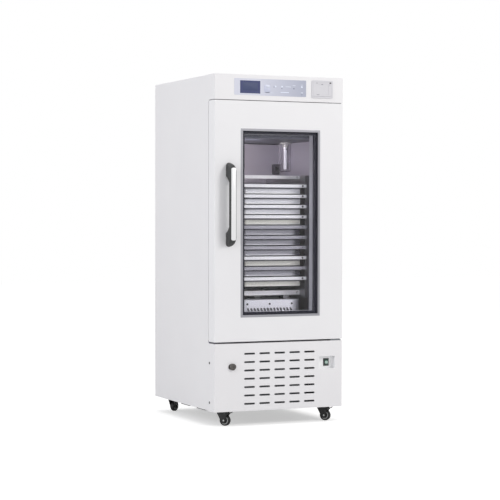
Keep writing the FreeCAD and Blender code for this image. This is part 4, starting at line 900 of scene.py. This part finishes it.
def makeCasterWheels():
    ringPlastic = texturedSurface({"name": "greyHubNylon", "colour": "#A9ABAB", "shade": "#9C9E9E", "patch": 12,
                                   "grain": 0.6, "roughness": (0.35, 0.48), "bump": 0.12, "depth": 0.03})
    capZinc = texturedSurface({"name": "brightZincCap", "colour": "#C4C7C7", "shade": "#B4B7B7", "patch": 5,
                               "grain": 0.5, "roughness": (0.30, 0.42), "bump": 0.08, "depth": 0.02})
    pins = {joint["name"]: Vector(joint["pos_m"]) for joint in frame["joints"]
            if joint["name"].startswith("caster_swivel_")}
    for joint in frame["joints"]:
        if not joint["name"].startswith("wheel_roll_"):
            continue
        corner = joint["name"][len("wheel_roll_"):]
        centre = Vector(joint["pos_m"])
        axis = Vector(joint["axis"]).normalized()
        makeForkCheeks(corner, centre, axis, pins["caster_swivel_" + corner])
        R, h, bed, hub, boss, bore = (wheelSettings[key] * mm
                                      for key in ("radius", "half", "bed", "hub", "boss", "bore"))
        tread = [(bed, -h + 0.6 * mm), (22.0 * mm, -h + 0.4 * mm), (R - 1.6 * mm, -h + 1.4 * mm),
                 (R - 0.4 * mm, -h + 3.2 * mm), (R, -h + 5 * mm), (R, h - 5 * mm), (R - 0.4 * mm, h - 3.2 * mm),
                 (R - 1.6 * mm, h - 1.4 * mm), (22.0 * mm, h - 0.4 * mm), (bed, h - 0.6 * mm),
                 (bed, -h + 0.6 * mm)]
        tyre = placeMesh("wheelTread_" + corner, latheMesh("tread", tread, centre, axis, 56),
                         materials["tyre_black"], "wheel_" + corner)
        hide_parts("caster_wheel_" + corner)
        out, inn = wheelSettings["ringOuter"] * mm, wheelSettings["ringInner"] * mm
        for way in (-1, 1):
            face = h - 1.4 * mm
            ring = [(bed, way * (face - 1.2 * mm)), (out, way * face), (inn, way * face),
                    (inn - 0.8 * mm, way * (face - 2.2 * mm)), (bed, way * (face - 3 * mm)),
                    (bed, way * (face - 1.2 * mm))]
            placeMesh("wheelRing_%s_%s" % (corner, "a" if way < 0 else "b"),
                      latheMesh("ring", ring, centre, axis, 48), ringPlastic, "wheel_" + corner)
        web = [(inn + 0.4 * mm, -h + 3.8 * mm), (hub, -h + 4 * mm), (boss, -h + 0.3 * mm),
               (bore, -h + 0.3 * mm), (bore, h - 0.3 * mm), (boss, h - 0.3 * mm), (hub, h - 4 * mm),
               (inn + 0.4 * mm, h - 3.8 * mm), (bed, h - 3.6 * mm), (bed, -h + 3.6 * mm),
               (inn + 0.4 * mm, -h + 3.8 * mm)]
        placeMesh("wheelHub_" + corner, latheMesh("hub", web, centre, axis, 40),
                  materials["black_plastic"], "wheel_" + corner)
        for way in (-1, 1):
            at = centre + axis * way * wheelSettings["capReach"] * mm
            cap = [(radius * mm, height * mm) for radius, height in wheelSettings["cap"]]
            placeMesh("axleCap_%s_%s" % (corner, "a" if way < 0 else "b"),
                      latheMesh("cap", cap, at, axis * way, 24), capZinc,
                      "caster_" + corner)


makeCasterWheels()
print("casters finished")


# floor, backdrop and lamps
stageSettings = {
    "floorSize": 30.0,       # metres
    "floorColour": "#EDEDED",
    "floorLift": 0.50,       # added for the camera, so that the open floor reads as plain white
    "worldLight": 0.60,
}

lampSettings = {
    "key": {"place": (2.7, -4.6, 3.5), "aim": (0, 0, 0.9), "size": 1.5, "power": 100, "colour": "#FFFDFA"},
    "fill": {"place": (-4.5, -1.5, 2.2), "aim": (0, 0, 0.8), "size": 3.2, "power": 60, "colour": "#FAFBFF"},
    "top": {"place": (0, 0.2, 4.2), "aim": (0, 0, 0), "size": 3.0, "power": 30, "colour": "#FFFFFF"},
    "chamber": {"place": (-0.06, -0.17, 1.285), "aim": (-0.06, 0.33, 1.13), "size": 0.09, "power": 1.5,
                "colour": "#FBF4F8"},
}


def makeFloor():
    half = stageSettings["floorSize"] / 2
    mesh = bpy.data.meshes.new("floor")
    square = [(-half, -half, 0), (half, -half, 0), (half, half, 0), (-half, half, 0)]
    mesh.from_pydata(square, [], [(0, 1, 2, 3)])
    floor = bpy.data.objects.new("floor", mesh)
    bpy.context.scene.collection.objects.link(floor)
    material, tree = newMaterial("studioFloor")
    rays = addNode(tree, "ShaderNodeLightPath")
    matt = addNode(tree, "ShaderNodeBsdfDiffuse", None, {"Color": linear(stageSettings["floorColour"])})
    seen = addNode(tree, "ShaderNodeMath", {"operation": "MAXIMUM"},
                   {0: rays.outputs["Is Camera Ray"], 1: rays.outputs["Is Transmission Ray"]})
    lift = addNode(tree, "ShaderNodeMath", {"operation": "MULTIPLY"},
                   {0: seen.outputs[0], 1: stageSettings["floorLift"]})
    glow = addNode(tree, "ShaderNodeEmission", None, {"Color": (1, 1, 1, 1), "Strength": lift.outputs[0]})
    finishMaterial(tree, addNode(tree, "ShaderNodeAddShader", None, {0: matt.outputs[0], 1: glow.outputs[0]}))
    mesh.materials.append(material)


def makeWorld():
    world = bpy.data.worlds.new("studio")
    world.use_nodes = True
    bpy.context.scene.world = world
    tree = world.node_tree
    tree.nodes.clear()
    rays = addNode(tree, "ShaderNodeLightPath")
    seen = addNode(tree, "ShaderNodeMath", {"operation": "MAXIMUM"},
                   {0: rays.outputs["Is Camera Ray"], 1: rays.outputs["Is Glossy Ray"]})
    through = addNode(tree, "ShaderNodeMath", {"operation": "MAXIMUM"},
                      {0: seen.outputs[0], 1: rays.outputs["Is Transmission Ray"]})
    white = addNode(tree, "ShaderNodeBackground", None, {"Color": (1, 1, 1, 1), "Strength": 1.0})
    light = addNode(tree, "ShaderNodeBackground", None,
                    {"Color": (1, 1, 1, 1), "Strength": stageSettings["worldLight"]})
    mix = addNode(tree, "ShaderNodeMixShader", None,
                  {0: through.outputs[0], 1: light.outputs[0], 2: white.outputs[0]})
    addNode(tree, "ShaderNodeOutputWorld", None, {"Surface": mix.outputs[0]})


def makeLamps():
    for name, lamp in lampSettings.items():
        data = bpy.data.lights.new(name, "AREA")
        data.shape = "SQUARE"
        data.size = lamp["size"]
        data.energy = lamp["power"]
        data.color = linear(lamp["colour"])[:3]
        thing = bpy.data.objects.new(name, data)
        thing.location = lamp["place"]
        way = Vector(lamp["aim"]) - Vector(lamp["place"])
        thing.rotation_euler = way.to_track_quat("-Z", "Y").to_euler()
        thing.visible_camera = False
        bpy.context.scene.collection.objects.link(thing)


makeFloor()
makeWorld()
makeLamps()
bpy.context.scene.view_settings.view_transform = "Standard"
print("stage lit")
